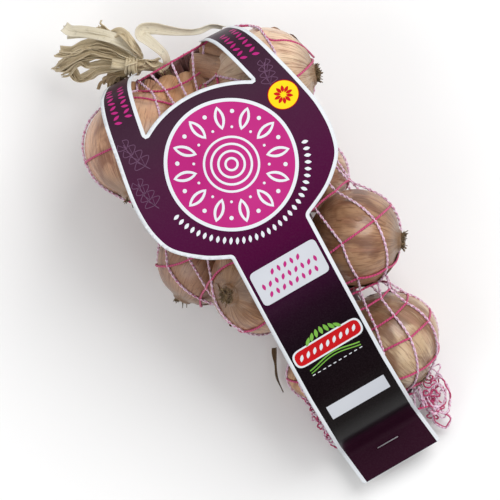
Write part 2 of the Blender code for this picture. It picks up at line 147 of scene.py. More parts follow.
DROOPING = (
    (5.0, 40, 0.90, ((-19.5, 69.7, 47), (-24.8, 71.2, 42), (-30, 72.7, 36), (-33.4, 72.1, 30),
                     (-36, 69.5, 25))),
    (4.2, 20, 1.00, ((-19.5, 69.7, 48), (-24.4, 70, 44), (-28.9, 71.1, 38), (-32.8, 69.7, 32),
                     (-34.9, 67.9, 27))),
    (3.6, 60, 1.00, ((-19, 68.9, 47), (-22.7, 69.5, 43), (-25.9, 69.3, 38), (-30.2, 67.6, 31),
                     (-32.8, 66.8, 27))),
)
RIBBON = (
    (-9.9, 61.6, 52), (-3.5, 63.1, 57), (-2.0, 68, 60), (-3.8, 73.9, 61), (-5.9, 79.2, 61.5),
    (-7.6, 83.2, 60.5), (-5.0, 85.6, 59.5), (0.6, 83.0, 58), (5.5, 79.0, 56), (13, 73.5, 50),
    (20, 70, 40), (28, 68.9, 26), (33, 65.4, 15),
)
SKIN_THICKNESS = 0.3
RIBBON_THICKNESS = 0.35
LEAF_THICKNESS = 0.4
TIE_TURNS = 5
TIE_PLACE = (-19, 72, 50)
TIE_TOWARDS = (-6.0, 3.9, -1.0)

# The net: two end rings, each a middle and its half axes, and the mesh between them.
NET_WALES = 18
NET_ROWS = 18
NET_TOP = ((-1, 62.5, 54), (21, 0, 0), (0, 0, 10))
NET_END = ((-1, -158, 12), (27, -7, 0), (0, 0, 3))
NET_AXIS = ((-1, 62.5, 54), (0, 20, 50), (0, -60, 48), (4, -110, 36), (-1, -158, 12))
NET_WIDE = 75.0
NET_HIGH = 56.0

# At the top ring the wales are bunched up and turned, in radians.
NET_TOP_BUNCH = 0.9
NET_TOP_TURN = 0.35

# The rows near this y hang lower past this x, by this share of the distance.
ROW_SLANT = 0.5
ROW_SLANT_FROM = 8.0
ROW_SLANT_Y = -60.0
ROW_SLANT_REACH = 24.0

# Rounds of pulling the crossings in and then the strands tight.
DRAW_ROUNDS = 260
DRAW_PULL = 0.5
TIGHT_ROUNDS = 420
NET_STEPS = 4
RING_PULL = 1.5
OVER_TABLE = 1.9

# Strands over this height and between these y stay this far under the card's middle.
UNDER_CARD = 1.6
UNDER_CARD_FROM_Z = 55
UNDER_CARD_Y = (-150, 55)
CHAIN_RADIUS = 0.42
CHAIN_TWIST = 0.34
CHAIN_PITCH = 6.4
KNIT_STEP = 0.65
RING_RADIUS = 0.62

# Single strands that run over the upper right onion.
OVER_CHAIN = (
    (28, 63.4, 60), (38, 62.2, 63), (46.2, 57.6, 66), (49.5, 48, 84), (49, 39, 88), (46, 31, 90),
)
OVER_RING = (
    (19, 62.3, 56), (28, 63.4, 60), (34.7, 63.2, 62), (41.6, 60.4, 64), (47.5, 56.4, 67),
    (50, 47, 84), (58, 41, 80), (64.5, 33, 70), (66.5, 27, 58),
)

# The gathered end: the knot, two loose lengths and strewn loops, each row of
# loops with its count, first and last place, spread, least and most radius.
KNOT_PLACE = (28.6, -168.6, 12.0)
NET_LOOPS = (
    (14, (37.0, -150.0, 12.0), (25.0, -170.0, 9.0), 1.6, 2.0, 4.6),
    (18, (-27.6, -126.0, 9.0), (-27.4, -159.0, 8.0), 0.7, 1.4, 2.6),
)
NET_TAIL = (
    ((28, -168, 12), (33, -173, 12), (38, -169, 10), (41, -161, 9), (39, -153, 8),
     (35.5, -158, 7), (32, -166, 10)),
    ((29, -169, 12), (34, -176, 9), (29, -180, 6), (25, -174, 7), (28, -168, 12)),
)

# The card: its route in y and z, as the middle of its thickness.
CARD_THICKNESS = 0.6
CARD_ROUTE = (
    (-184, 14.4), (-177, 13.2), (-170, 12.4), (-165.5, 13.6), (-162.4, 20), (-160.4, 29), (-157.4, 43),
    (-151, 55.0), (-143, 61.6), (-128, 70.0), (-110, 80.2), (-92, 90.4), (-78, 97.0), (-62, 100.2),
    (-40, 100.4), (-14, 100.6), (8, 101.4), (26, 102.8), (38, 102.0), (49.5, 97.6), (59, 88.4), (63.8, 76),
    (65.4, 64), (65.6, 50), (65.2, 34), (63, 19.5), (58.4, 8.4), (52, 2.4), (45, 0.4), (38, 0.3), (28, 0.3),
    (0, 0.3), (-60, 0.3), (-118, 0.3), (-132, 0.3), (-140, 0.4), (-148, 1.0), (-156, 3.0), (-162, 6.6),
    (-166.5, 10.0), (-170, 11.4), (-177, 12.2), (-184, 13.4),
)
FRONT_OUTLINE = (
    (36.6, -37.6), (44.5, -31.5), (53.0, -23.3), (56.7, -9.0), (56.7, 6.4),
    (53.8, 21.7), (50.6, 36.6), (47.2, 52.0), (42.2, 70.0), (38.6, 80.0),
)
NECK_CORNER = (23.6, -43.5)

# Half widths at the fold and on the tail, and the fold's slant as a rise over its width.
FOLD_HALF_WIDTH = 35.0
FOLD_SLANT = 0.055
TAIL_HALF_WIDTH = 23.7

# The hole: an arc on the front, mirrored on the back, and its half width at the fold.
HOLE_CORNER_X = 31.8
HOLE_ARC_RADIUS = 61.8
HOLE_ARC_CENTRE = -18.5
HOLE_HALF_AT_FOLD = 18.4

# How far the tail leans sideways: places in y, and x at each.
TAIL_LEAN = (
    (-184, -160, -146, -130, -94, -78, -45, -34, 30, 62),
    (-0.5, -3.15, -3.45, -3.75, -2.95, -2.55, -1.5, 0.0, 0.0, -0.8),
)

# Steps that the flat card is cut into so that it can bend, along and across.
BEND_STEP = 2.5
CROSS_STEP = 6.0
CROSS_REACH = 54

# Print: sizes and places on the card.
BORDER = 2.0
DISC_RADIUS = 35.7
PANEL_Y = -65.9
BADGE_Y = -108.5
DASHES_Y = -119.5
LOW_PANEL_Y = -141.5
STICKER_PLACE = (42.2, 19.1)
ONION_RINGS = (3.2, 7.0, 10.8, 14.6)
RING_HALF = 0.62
ARM_ROW_START = 47.0
PRINT_LIFT = 0.05
PRINT_OVER = 0.09
SPRIGS = (
    (-41.5, 27, 1.9, 1.45), (-46.5, 7, 1.75, 1.35), (40.8, 33, 1.35, 1.25),
)

# The staple's wire, on the tail.
STAPLE_Y = -171.0
STAPLE_HALF = 6.2
STAPLE_WIRE = 0.6

# A loose dry leaf beside the tail of the card.
DRY_LEAF_THICKNESS = 0.35
DRY_LEAF = ((-29, -97, 6), (-33, -105, 7), (-36, -112, 5), (-37, -120, 4))

# The camera looks straight down, turned by this angle.
CAMERA_TURN = -30.0
CAMERA_AIM = (-14.3, -45.0, 101.0)
CAMERA_HEIGHT = 8500.0
FIELD = 265.0


def at(points):
    """Points of the drawing, in metres from the model's origin."""
    return (np.asarray(points, float) - BOX_MIDDLE) * MM


def smoothed(points, steps):
    """Points on a smooth curve through the given ones."""
    knots = np.array(points, float)
    knots = np.vstack([2 * knots[0] - knots[1], knots, 2 * knots[-1] - knots[-2]])
    found = []
    for a, b, c, d in zip(knots, knots[1:], knots[2:], knots[3:]):
        for t in np.arange(steps) / steps:
            curve = 2 * b + (c - a) * t + (2 * a - 5 * b + 4 * c - d) * t**2
            found.append(0.5 * (curve + (3 * b - a - 3 * c + d) * t**3))
    found.append(knots[-2])
    return np.array(found)


def distances(path):
    """Distance along a path at each of its points."""
    steps = np.linalg.norm(np.diff(path, axis=0), axis=1)
    return np.concatenate([[0.0], np.cumsum(steps)])


def spaced(path, gap):
    """The same path with its points evenly spaced."""
    along = distances(path)
    count = max(2, int(round(along[-1] / gap)) + 1)
    places = np.linspace(0, along[-1], count)
    return np.stack([np.interp(places, along, path[:, k]) for k in range(3)], axis=1)


def smooth_path(route, gap, steps=8):
    """A smooth path through a route, with its points evenly spaced."""
    return spaced(smoothed(route, steps), gap)


def unit(vectors):
    """Vectors of length one."""
    vectors = np.asarray(vectors, float)
    return vectors / np.maximum(np.linalg.norm(vectors, axis=-1, keepdims=True), 1e-9)


def sides_of(path, first=None):
    """Two directions across the path at each point, carried along without twist."""
    tangents = unit(np.gradient(path, axis=0))
    side = np.array((0.0, 0.0, 1.0) if first is None else first, float)
    if abs(tangents[0] @ unit(side)) > 0.95:
        side = np.array((1.0, 0.3, 0.0))
    across = []
    for tangent in tangents:
        side = unit(side - tangent * (side @ tangent))
        across.append(side)
    across = np.array(across)
    return across, np.cross(tangents, across)


def circled(turn, out, across, over):
    """Steps away from the middle of a circle, at these turns of it."""
    return (out * np.cos(turn))[:, None] * across + (out * np.sin(turn))[:, None] * over


class Shape:
    """Points, faces, texture places and material slots, kept until they become one mesh."""

    def __init__(self):
        self.points = []
        self.faces = []
        self.places = []
        self.slots = []

    def grid(self, rows, places, slot=0, wrap=False):
        """Faces between rows of points."""
        start = len(self.points)
        width = len(rows[0])
        for row in rows:
            self.points.extend(row)
        last = width if wrap else width - 1
        for i in range(len(rows) - 1):
            for j in range(last):
                here = start + i * width + j
                beside = start + i * width + (j + 1) % width
                self.faces.append((here, beside, beside + width, here + width))
                near, far = j / last, (j + 1) / last
                low, high = places[i], places[i + 1]
                self.places.extend(((near, low), (far, low), (far, high), (near, high)))
                self.slots.append(slot)

    def cap(self, index, count, turned, slot):
        """One face across the open end that starts at this point."""
        ring = [index + i for i in range(count)]
        self.faces.append(tuple(ring[::-1] if turned else ring))
        self.places.extend([(0.5, 0.0)] * count)
        self.slots.append(slot)

    def tube(self, path, radii, sides=6, slot=0, squeeze=1.0, first=None, closed=False):
        """A round or flattened tube along a path in the drawing's frame."""
        path = np.asarray(path, float)
        radii = np.broadcast_to(np.asarray(radii, float), (len(path),))
        across, over = sides_of(path, first)
        turn = 2 * np.pi * np.arange(sides) / sides
        ring = np.cos(turn)[None, :, None] * across[:, None]
        ring = ring + squeeze * np.sin(turn)[None, :, None] * over[:, None]
        rows = path[:, None] + radii[:, None, None] * ring
        start = len(self.points)
        self.grid(rows, distances(path) / 10, slot, wrap=True)
        if not closed:
            self.cap(start, sides, True, slot)
            self.cap(start + sides * (len(path) - 1), sides, False, slot)

    def strip(self, path, widths, tilt, curl=0.0, slot=0, across=8):
        """A flat leaf along a path: tilt turns it about the path, curl rolls its edges."""
        path = np.asarray(path, float)
        widths = np.broadcast_to(np.asarray(widths, float), (len(path),))
        tilt = np.broadcast_to(np.asarray(tilt, float), (len(path),))
        tangents = unit(np.gradient(path, axis=0))
        level = unit(np.cross((0.0, 0.0, 1.0), tangents))
        up = np.cross(tangents, level)
        turn = np.radians(tilt)[:, None]
        wide = np.cos(turn) * level + np.sin(turn) * up
        out = -np.sin(turn) * level + np.cos(turn) * up
        u = np.linspace(-1, 1, across + 1)
        half = (widths / 2)[:, None, None]
        side = u[None, :, None] * wide[:, None] * half
        bow = (curl * (u**2 - 0.4))[None, :, None] * out[:, None] * half
        self.grid(path[:, None] + side + bow, distances(path) / 10, slot)

    def piece(self, name, materials, replaced, turned=None):
        """Makes the mesh object, riding on the model; turned also keeps the points' own places."""
        mesh = bpy.data.meshes.new(name)
        points = np.asarray(self.points)
        mesh.from_pydata((turned(points) if turned else at(points)).tolist(), [], self.faces)
        if turned:
            own = mesh.attributes.new("own_place", "FLOAT_VECTOR", "POINT")
            own.data.foreach_set("vector", points.astype(np.float32).ravel())
        layer = mesh.uv_layers.new(name="place")
        layer.data.foreach_set("uv", np.array(self.places, np.float32).ravel())
        for material in materials:
            mesh.materials.append(material)
        mesh.polygons.foreach_set("material_index", np.array(self.slots, np.int32))
        mesh.polygons.foreach_set("use_smooth", np.full(len(self.faces), True))
        mesh.update()
        return placed(name, mesh, replaced)


def placed(name, mesh, replaced):
    """Makes an object of the mesh, rides it on the model and hides the model parts that it replaces."""
    made = bpy.data.objects.new(name, mesh)
    bpy.context.scene.collection.objects.link(made)
    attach(made, "root")
    if replaced:
        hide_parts(*replaced)
    return made


def thicken(made, thickness):
    """Gives a flat piece its thickness."""
    sheet = made.modifiers.new("thickness", "SOLIDIFY")
    sheet.thickness = thickness * MM
    sheet.offset = 0.0
    return sheet


# Materials


class Nodes:
    """Short calls for building one material's nodes."""

    def __init__(self, name):
        self.material = bpy.data.materials.new(name)
        self.material.use_nodes = True
        self.tree = self.material.node_tree
        self.shader = self.tree.nodes["Principled BSDF"]

    def new(self, kind, **settings):
        node = self.tree.nodes.new("ShaderNode" + kind)
        for name, value in settings.items():
            setattr(node, name, value)
        return node

    def join(self, out, into):
        self.tree.links.new(out, into)

    def fill(self, socket, value):
        """Joins a socket to another one, or sets its value."""
        if isinstance(value, bpy.types.NodeSocket):
            self.join(value, socket)
        elif isinstance(value, (tuple, list)) and len(value) == 3 and socket.type == "RGBA":
            socket.default_value = (*value, 1.0)
        else:
            socket.default_value = value

    def set(self, **values):
        """Values of the shader's own sockets."""
        for name, value in values.items():
            self.fill(self.shader.inputs[name.replace("_", " ")], value)

    def pair(self, kind, operation, a, b):
        node = self.new(kind, operation=operation)
        self.fill(node.inputs[0], a)
        self.fill(node.inputs[1], b)
        return node.outputs[0]

    def math(self, operation, a, b=0.0):
        return self.pair("Math", operation, a, b)

    def vector(self, operation, a, b):
        return self.pair("VectorMath", operation, a, b)

    def times(self, a, b):
        return self.math("MULTIPLY", a, b)

    def plus(self, a, b):
        return self.math("ADD", a, b)

    def uv(self):
        """Places across and along a strip or tube, or on the flat card."""
        return self.new("UVMap", uv_map="place").outputs[0]

    def where(self):
        """Places in the object, in metres."""
        return self.new("TexCoord").outputs["Object"]

    def own_place(self):
        """Places in an onion of radius one, with its neck up."""
        return self.new("Attribute", attribute_name="own_place").outputs["Vector"]

    def split(self, place):
        parts = self.new("SeparateXYZ")
        self.join(place, parts.inputs[0])
        return parts.outputs

    def mix(self, share, a, b, blend="MIX"):
        node = self.new("Mix", data_type="RGBA", blend_type=blend)
        self.fill(node.inputs["Factor"], share)
        self.fill(node.inputs[6], a)
        self.fill(node.inputs[7], b)
        return node.outputs[2]

    def noise(self, place, scale, detail=3.0, roughness=0.5, distortion=0.0):
        node = self.new("TexNoise")
        self.join(place, node.inputs["Vector"])
        node.inputs["Scale"].default_value = scale
        node.inputs["Detail"].default_value = detail
        node.inputs["Roughness"].default_value = roughness
        node.inputs["Distortion"].default_value = distortion
        return node.outputs["Fac"]

    def ramp(self, value, stops):
        node = self.new("ValToRGB")
        bar = node.color_ramp.elements
        while len(bar) < len(stops):
            bar.new(0.5)
        for element, (place, colour) in zip(bar, stops):
            element.position = place
            element.color = (*colour, 1.0) if len(colour) == 3 else colour
        self.join(value, node.inputs["Fac"])
        return node.outputs["Color"]

    def band(self, value, low, high):
        """Zero below low, one above high, straight between."""
        node = self.new("MapRange")
        node.clamp = True
        self.fill(node.inputs["Value"], value)
        node.inputs["From Min"].default_value = low
        node.inputs["From Max"].default_value = high
        return node.outputs["Result"]

    def tinted(self, colour, value, low, high, strength, other):
        """The colour, going over to another one as the value rises from low to high."""
        return self.mix(self.times(self.band(value, low, high), strength), colour, other)

    def bump(self, height, depth, strength=1.0):
        node = self.new("Bump")
        node.inputs["Strength"].default_value = strength
        node.inputs["Distance"].default_value = depth
        self.join(height, node.inputs["Height"])
        self.join(node.outputs["Normal"], self.shader.inputs["Normal"])


def skin_material(name, tint, seed, neck_painted_shade):
    """Dry onion skin: fine veins from neck to root, thin patches, browner near the root, and darker towards
    the neck with the neck's own brown and painted shade.
    """
    n = Nodes(name)
    place = n.own_place()
    x, y, z = n.split(place)
    flat = n.math("SQRT", n.plus(n.times(x, x), n.times(y, y)))
    flat = n.math("MAXIMUM", flat, 0.02)
    around = n.new("CombineXYZ")
    n.join(n.math("DIVIDE", x, flat), around.inputs[0])
    n.join(n.math("DIVIDE", y, flat), around.inputs[1])
    n.join(n.math("MULTIPLY_ADD", z, 0.10), around.inputs[2])
    shift = (seed * 1.7, seed * 0.9, seed * 2.3)
    turned = n.vector("ADD", around.outputs[0], shift)
    fine = n.noise(turned, 30.0, 4.0, 0.65)
    broad = n.noise(turned, 6.0, 2.0, 0.5)
    moved = n.vector("ADD", place, shift)
    patch = n.noise(n.vector("MULTIPLY", moved, (1.0, 1.0, 0.55)), 1.5, 3.0, 0.55, 0.6)
    speck = n.noise(moved, 14.0, 4.0, 0.6)
    tint = np.array(tint)
    light = tuple(np.minimum(tint * np.array((1.40, 1.50, 1.60)), 0.86))
    dark = tuple(tint * np.array((0.44, 0.28, 0.20)))
    rosy = tuple(tint * np.array((0.92, 0.72, 0.78)))
    colour = n.mix(n.band(patch, 0.40, 0.62), light, tuple(tint))
    colour = n.tinted(colour, patch, 0.51, 0.61, 0.85, dark)
    colour = n.tinted(colour, broad, 0.50, 0.70, 0.60, rosy)
    colour = n.tinted(colour, fine, 0.53, 0.64, 0.58, dark)
    colour = n.tinted(colour, fine, 0.44, 0.32, 0.45, light)
    colour = n.tinted(colour, speck, 0.60, 0.72, 0.30, dark)
    veins = n.times(n.band(fine, 0.47, 0.56), n.band(z, -0.20, -0.80))
    colour = n.mix(n.times(veins, 0.65), colour, dark)
    colour = n.tinted(colour, z, -0.60, -0.93, 0.75, (0.16, 0.085, 0.035))
    # Painted shade: darker towards the neck, where the onions lie in shade near the card, together with the
    # dry neck's own brown.
    colour = n.tinted(colour, z, 0.15, 0.85, neck_painted_shade, (0.17, 0.080, 0.040))
    n.set(Base_Color=colour, Roughness=n.plus(n.times(patch, 0.25), 0.26))
    n.set(Coat_Weight=0.36, Coat_Roughness=0.20, Subsurface_Weight=0.08, Subsurface_Scale=0.002)
    n.set(Subsurface_Radius=(1.0, 0.45, 0.25))
    height = n.plus(n.times(fine, 0.55), n.times(broad, 0.45))
    n.bump(n.plus(height, n.times(patch, 0.8)), 0.0006, 0.7)
    return n.material


def fibre_material(name, light, dark, roughness=0.72, fineness=9.0):
    """Dried leaf or raffia: fine lines along the strip, darker streaks and spots."""
    n = Nodes(name)
    lines = n.noise(n.vector("MULTIPLY", n.uv(), (fineness, 0.55, 1.0)), 1.6, 4.0, 0.6)
    where = n.where()
    cloud = n.noise(where, 55.0, 3.0, 0.5)
    fleck = n.noise(where, 420.0, 3.0, 0.6)
    colour = n.mix(n.band(lines, 0.36, 0.66), light, dark)
    colour = n.tinted(colour, cloud, 0.46, 0.64, 0.55, dark)
    colour = n.tinted(colour, fleck, 0.60, 0.72, 0.4, tuple(0.45 * np.array(dark)))
    n.set(Base_Color=colour, Roughness=roughness, Sheen_Weight=0.12)
    n.bump(n.plus(lines, n.times(fleck, 0.2)), 0.0005, 0.8)
    return n.material


def thread_material(name, light, dark, stitch):
    """Knitted or twisted thread, with the second colour showing at each stitch."""
    n = Nodes(name)
    across, along, _ = n.split(n.uv())
    turn = n.times(along, 10 * 2 * math.pi / stitch)
    wave = n.math("SINE", n.plus(turn, n.times(across, 2 * math.pi)))
    uneven = n.noise(n.where(), 260.0, 3.0, 0.6)
    share = n.band(n.plus(n.times(wave, 0.6), n.times(uneven, 2.4)), 1.1, 2.1)
    n.set(Base_Color=n.mix(share, light, dark), Roughness=0.62, Sheen_Weight=0.25)
    n.bump(n.plus(wave, n.times(uneven, 2.0)), 0.00012, 0.9)
    return n.material


def ink_stops(stops, low, high):
    """Colour stops given at places along the card, as shares of its length."""
    return [((place - low) / (high - low), colour) for place, colour in stops]


def gloss(n):
    """The clear film over the card's print, a little uneven."""
    where = n.where()
    uneven = n.noise(where, 34.0, 2.0, 0.5)
    fine = n.noise(where, 900.0, 2.0, 0.5)
    n.set(Roughness=0.32, Specular_IOR_Level=0.04, Coat_Weight=0.04, Coat_Roughness=0.10)
    n.bump(n.plus(uneven, n.times(fine, 0.01)), 0.0012, 0.30)


def card_material():
    """The printed ground: aubergine at the fold, purple at the neck, near black on the tail, with a painted
    grey reflection where the tail bends down and painted light on the lighter end past the bend.
    """
    n = Nodes("card print with painted light")
    low, high = -2.2, 2.2
    share = n.band(n.split(n.uv())[1], low, high)
    # The grey stops at -1.68 and -1.52 are a painted reflection on the tail's bend; the lighter stops at
    # -2.10 and -1.90 are painted light on the tail's end.
    stops = (
        (-2.10, (0.024, 0.004, 0.013)), (-1.90, (0.020, 0.003, 0.011)), (-1.80, (0.004, 0.001, 0.003)),
        (-1.68, (0.009, 0.008, 0.008)), (-1.52, (0.010, 0.008, 0.008)), (-1.38, (0.004, 0.001, 0.002)),
        (-1.10, (0.004, 0.001, 0.003)), (-0.88, (0.012, 0.001, 0.008)), (-0.70, (0.030, 0.001, 0.020)),
        (-0.48, (0.062, 0.001, 0.032)), (-0.20, (0.068, 0.005, 0.040)), (0.10, (0.064, 0.012, 0.041)),
        (0.32, (0.052, 0.019, 0.039)), (0.62, (0.038, 0.014, 0.028)), (1.10, (0.044, 0.013, 0.030)),
        (2.10, (0.012, 0.003, 0.009)),
    )
    grain = n.noise(n.where(), 1300.0, 2.0, 0.6)
    colour = n.ramp(share, ink_stops(stops, low, high))
    colour = n.tinted(colour, grain, 0.4, 0.7, 0.04, (0.16, 0.11, 0.14))
    n.set(Base_Color=colour)
    gloss(n)
    return n.material


def ink(name, colour, shade):
    """A flat printed colour under the film, a little uneven."""
    n = Nodes(name)
    cloud = n.noise(n.where(), 22.0, 2.0, 0.5)
    n.set(Base_Color=n.mix(n.band(cloud, 0.35, 0.65), colour, shade))
    gloss(n)
    return n.material


def board_material():
    """The inner side of the card, matt, and dark as painted shade for the shaded inside of the fold."""
    n = Nodes("card inside in painted shade")
    grain = n.noise(n.where(), 700.0, 3.0, 0.6)
    # Painted shade: the inside is given a dark tone for the shade inside the fold.
    n.set(Base_Color=n.mix(grain, (0.060, 0.030, 0.036), (0.105, 0.062, 0.066)), Roughness=0.6)
    n.bump(grain, 0.0001, 0.5)
    return n.material


def steel_material():
    """Bright staple wire with drawn lines."""
    n = Nodes("staple wire")
    lines = n.noise(n.vector("MULTIPLY", n.uv(), (14.0, 0.4, 1.0)), 2.0, 3.0, 0.6)
    n.set(Base_Color=n.mix(lines, (0.78, 0.78, 0.80), (0.56, 0.56, 0.58)), Metallic=1.0)
    n.set(Roughness=n.plus(n.times(lines, 0.2), 0.18))
    return n.material


def root_material():
    """Dry root fibres, dark brown and lighter brown in patches."""
    n = Nodes("root fibre")
    uneven = n.noise(n.own_place(), 9.0, 3.0, 0.6)
    colour = n.mix(n.band(uneven, 0.35, 0.65), (0.050, 0.030, 0.014), (0.24, 0.16, 0.08))
    n.set(Base_Color=colour, Roughness=0.85)
    n.bump(uneven, 0.0002, 0.6)
    return n.material


# Onions


def onion_rows(rng):
    """Rings of points from neck to root of an onion of radius one, a little uneven."""
    profile = smoothed([(r, 0.0, z) for r, z in ONION_PROFILE], 5)[:, (0, 2)]
    turn = 2 * np.pi * np.arange(ONION_SIDES) / ONION_SIDES
    phases = rng.uniform(0, 2 * np.pi, 6)
    rows = []
    for r, z in profile[1:-1]:
        neck = np.clip((z - 0.72) / 0.3, 0, 1)
        uneven = 1 + 0.012 * np.sin(2 * turn + phases[0]) + 0.009 * np.sin(3 * turn + phases[1] + z)
        uneven += 0.0035 * np.sin(19 * turn + phases[2]) * (1 - neck)
        uneven += 0.16 * neck * np.sin(7 * turn + phases[3] + 2.5 * z)
        uneven += 0.07 * neck * np.sin(13 * turn + phases[4] - 3 * z)
        angle = turn + 0.9 * max(z - 0.8, 0)
        lean = 0.05 * max(z - 0.8, 0)
        out = r * uneven
        ring = (out * np.cos(angle) + lean, out * np.sin(angle), np.full_like(turn, z))
        rows.append(np.stack(ring, axis=1))
    return rows


def add_flake(shape, rows, rng, first, width, top, bottom, lift):
    """A loose sheet of papery skin over part of an onion, with torn edges."""
    columns = (first + np.arange(width)) % ONION_SIDES
    patch = np.array([row[columns] for row in rows[top:bottom]])
    count, wide = patch.shape[:2]
    v = np.linspace(0, 1, count)[:, None]
    u = np.linspace(0, 1, wide)[None, :]
    torn = 0.12 * np.sin(9 * u + rng.uniform(0, 6)) + 0.07 * np.sin(23 * u + rng.uniform(0, 6))
    raised = lift * np.clip(u - 0.55 + torn, 0, 1) ** 1.5
    raised = raised + lift * np.clip(v - 0.7 + torn, 0, 1) ** 2 + 0.007
    patch = patch * (1 + raised[..., None])
    patch[-1, :, 2] += 0.05 * torn[0]
    side = 0.03 * np.sin(11 * v[:, 0] * 3 + rng.uniform(0, 6))
    for edge in (0, -1):
        patch[:, edge, 0] += side
        patch[:, edge, 1] += side
    shape.grid(patch, np.linspace(0, 1, count), 0)


def add_roots(shape, rng, count):
    """The root plate with its tuft of short dry fibres."""
    for _ in range(count):
        angle = rng.uniform(0, 2 * np.pi)
        out = 0.15 * math.sqrt(rng.uniform(0, 1))
        start = np.array((out * math.cos(angle), out * math.sin(angle), -0.955))
        wide = 0.25 + 3 * out
        spread = unit((math.cos(angle) * wide, math.sin(angle) * wide, -1.0))
        length = rng.uniform(0.03, 0.11)
        bend = rng.normal(0, 0.60, 3)
        steps = np.linspace(0, 1, 5)[:, None]
        path = start + length * steps * spread + 0.5 * length * steps**2 * bend
        shape.tube(path, np.linspace(0.015, 0.008, 5), 4, 1)


def add_onion(number, row, roots):
    """One onion: skin, torn flakes and roots, in its own local frame of radius one."""
    node, centre, radius, neck, tint = row
    rng = np.random.default_rng(100 + number)
    rows = onion_rows(rng)
    shape = Shape()
    shape.grid(rows, np.linspace(0, 1, len(rows)), 0, wrap=True)
    shape.cap(0, ONION_SIDES, True, 0)
    shape.cap(len(shape.points) - ONION_SIDES, ONION_SIDES, False, 1)
    for flake in FLAKES.get(node, ()):
        add_flake(shape, rows, rng, *flake)
    add_roots(shape, rng, FEW_ROOTS if node in FEW_ROOTED else ROOT_COUNT)
    skin = skin_material(f"{node} skin", tint, number + 1, NECK_PAINTED_SHADES.get(node, NECK_PAINTED_SHADE))
    turn = np.array(Vector(neck).to_track_quat("Z", "Y").to_matrix())
    return shape.piece(node + "_skin", (skin, roots), (node,),
                       turned=lambda points: at(radius * points @ turn.T + np.array(centre)))


# Stems, tuft and tie


def add_core(straw, bark):
    """Dried stems twisted round each other, between the onions."""
    path = smooth_path(CORE_PATH, 2.0, 6)
    across, over = sides_of(path)
    along = np.linspace(0, 1, len(path))
    outside = int(np.argmin(np.linalg.norm(path - CORE_MOUTH, axis=1)))
    shape = Shape()
    for number in range(CORE_STRANDS):
        turn = 2 * np.pi * number / CORE_STRANDS + 9.0 * along
        out = np.where(along < 0.2, 2.0, 3.1) * (0.35 if number == 0 else 1.0)
        strand = path + circled(turn, out, across, over)
        radii = 1.55 + 0.25 * np.sin(17 * along + number)
        shape.tube(strand[:outside + 2], radii[:outside + 2], 10, 0, squeeze=0.8)
        shape.tube(strand[outside:], radii[outside:], 10, 1, squeeze=0.8)
    return shape.piece("stem_core", (straw, bark), ("stems",))


def add_stem_skins(material):
    """Dark papery stem ends that fill the mouth of the net round the core."""
    rng = np.random.default_rng(17)
    shape = Shape()
    for number in range(STEM_SKINS):
        across = -24.0 + 1.7 * number
        low = 9.0 * (number % 2)
        start = (0.6 * across + 2.0, 46.0 + rng.uniform(-2, 3), 49.0 - low + rng.uniform(-3, 3))
        end = (across, 62.3 + rng.uniform(-1.5, 0.8), 51.0 - low + rng.uniform(-4, 4))
        bend = (0.8 * across, 54.0, 50.0 - low + rng.uniform(-4, 4))
        path = smooth_path((start, bend, end), 1.2)
        t = np.linspace(0, 1, len(path))
        shape.strip(path, 4.5 + 2.5 * t, rng.uniform(-30, 30) + 20 * t, rng.uniform(0.4, 1.0), 0)
    return shape.piece("stem_skins", (material,), ())


def add_neck_skins(orange, tan):
    """Papery skins of the upper onions, drawn out towards the mouth of the net."""
    shape = Shape()
    for number, (width, slot, route) in enumerate(NECK_SKINS):
        path = smooth_path(route, 0.8)
        t = np.linspace(0, 1, len(path))
        ragged = width * (1 - 0.35 * t) + 0.8 * np.sin(11 * t + number)
        shape.strip(path, ragged, 8 * np.sin(5 * t + number), -0.45, slot, across=16)
    return shape.piece("neck_skins", (orange, tan), ())


def wavy(count, rng, size):
    """Smooth random sway along a path."""
    t = np.linspace(0, 1, count)
    sway = np.zeros((count, 3))
    for k in (1.5, 3.0, 5.5):
        sway += rng.normal(0, size / k, 3) * np.sin(2 * np.pi * (k * t[:, None] + rng.uniform(0, 1, 3)))
    return sway * np.minimum(1, 4 * t)[:, None]


def add_tuft(straw, brown, pale):
    """The dried leaves past the tie, most of them folded and twisted strips."""
    rng = np.random.default_rng(7)
    shape = Shape()
    slots = [2, 2] + [0] * (len(LEAVES) - 2) + [1] * len(DROOPING)
    for number, ((width, tilt, curl, route), slot) in enumerate(zip(LEAVES + DROOPING, slots)):
        path = smooth_path(route, 0.8)
        t = np.linspace(0, 1, len(path))
        taper = width * np.minimum(1, 0.55 + 2.0 * t) * (1 - 0.12 * t**3)
        shape.strip(path, taper, tilt + (8 if number == 0 else 26) * np.sin(4 * t + number), curl, slot)
        for strip in range(1 if number < 2 else 3):
            aside = rng.normal(0, 1.5, 3) * t[:, None] * (1 + 0.3 * strip)
            sway = wavy(len(path), rng, 0.8)
            narrow = taper * rng.uniform(0.35, 0.65)
            tilts = rng.uniform(-20, 50) + 70 * t
            strip_curl = rng.uniform(0.5, 1.3)
            shape.strip(path + aside + sway - (0, 0, 0.8), narrow, tilts, strip_curl, slot, across=6)
    return shape.piece("tuft_leaves", (straw, brown, pale), ())


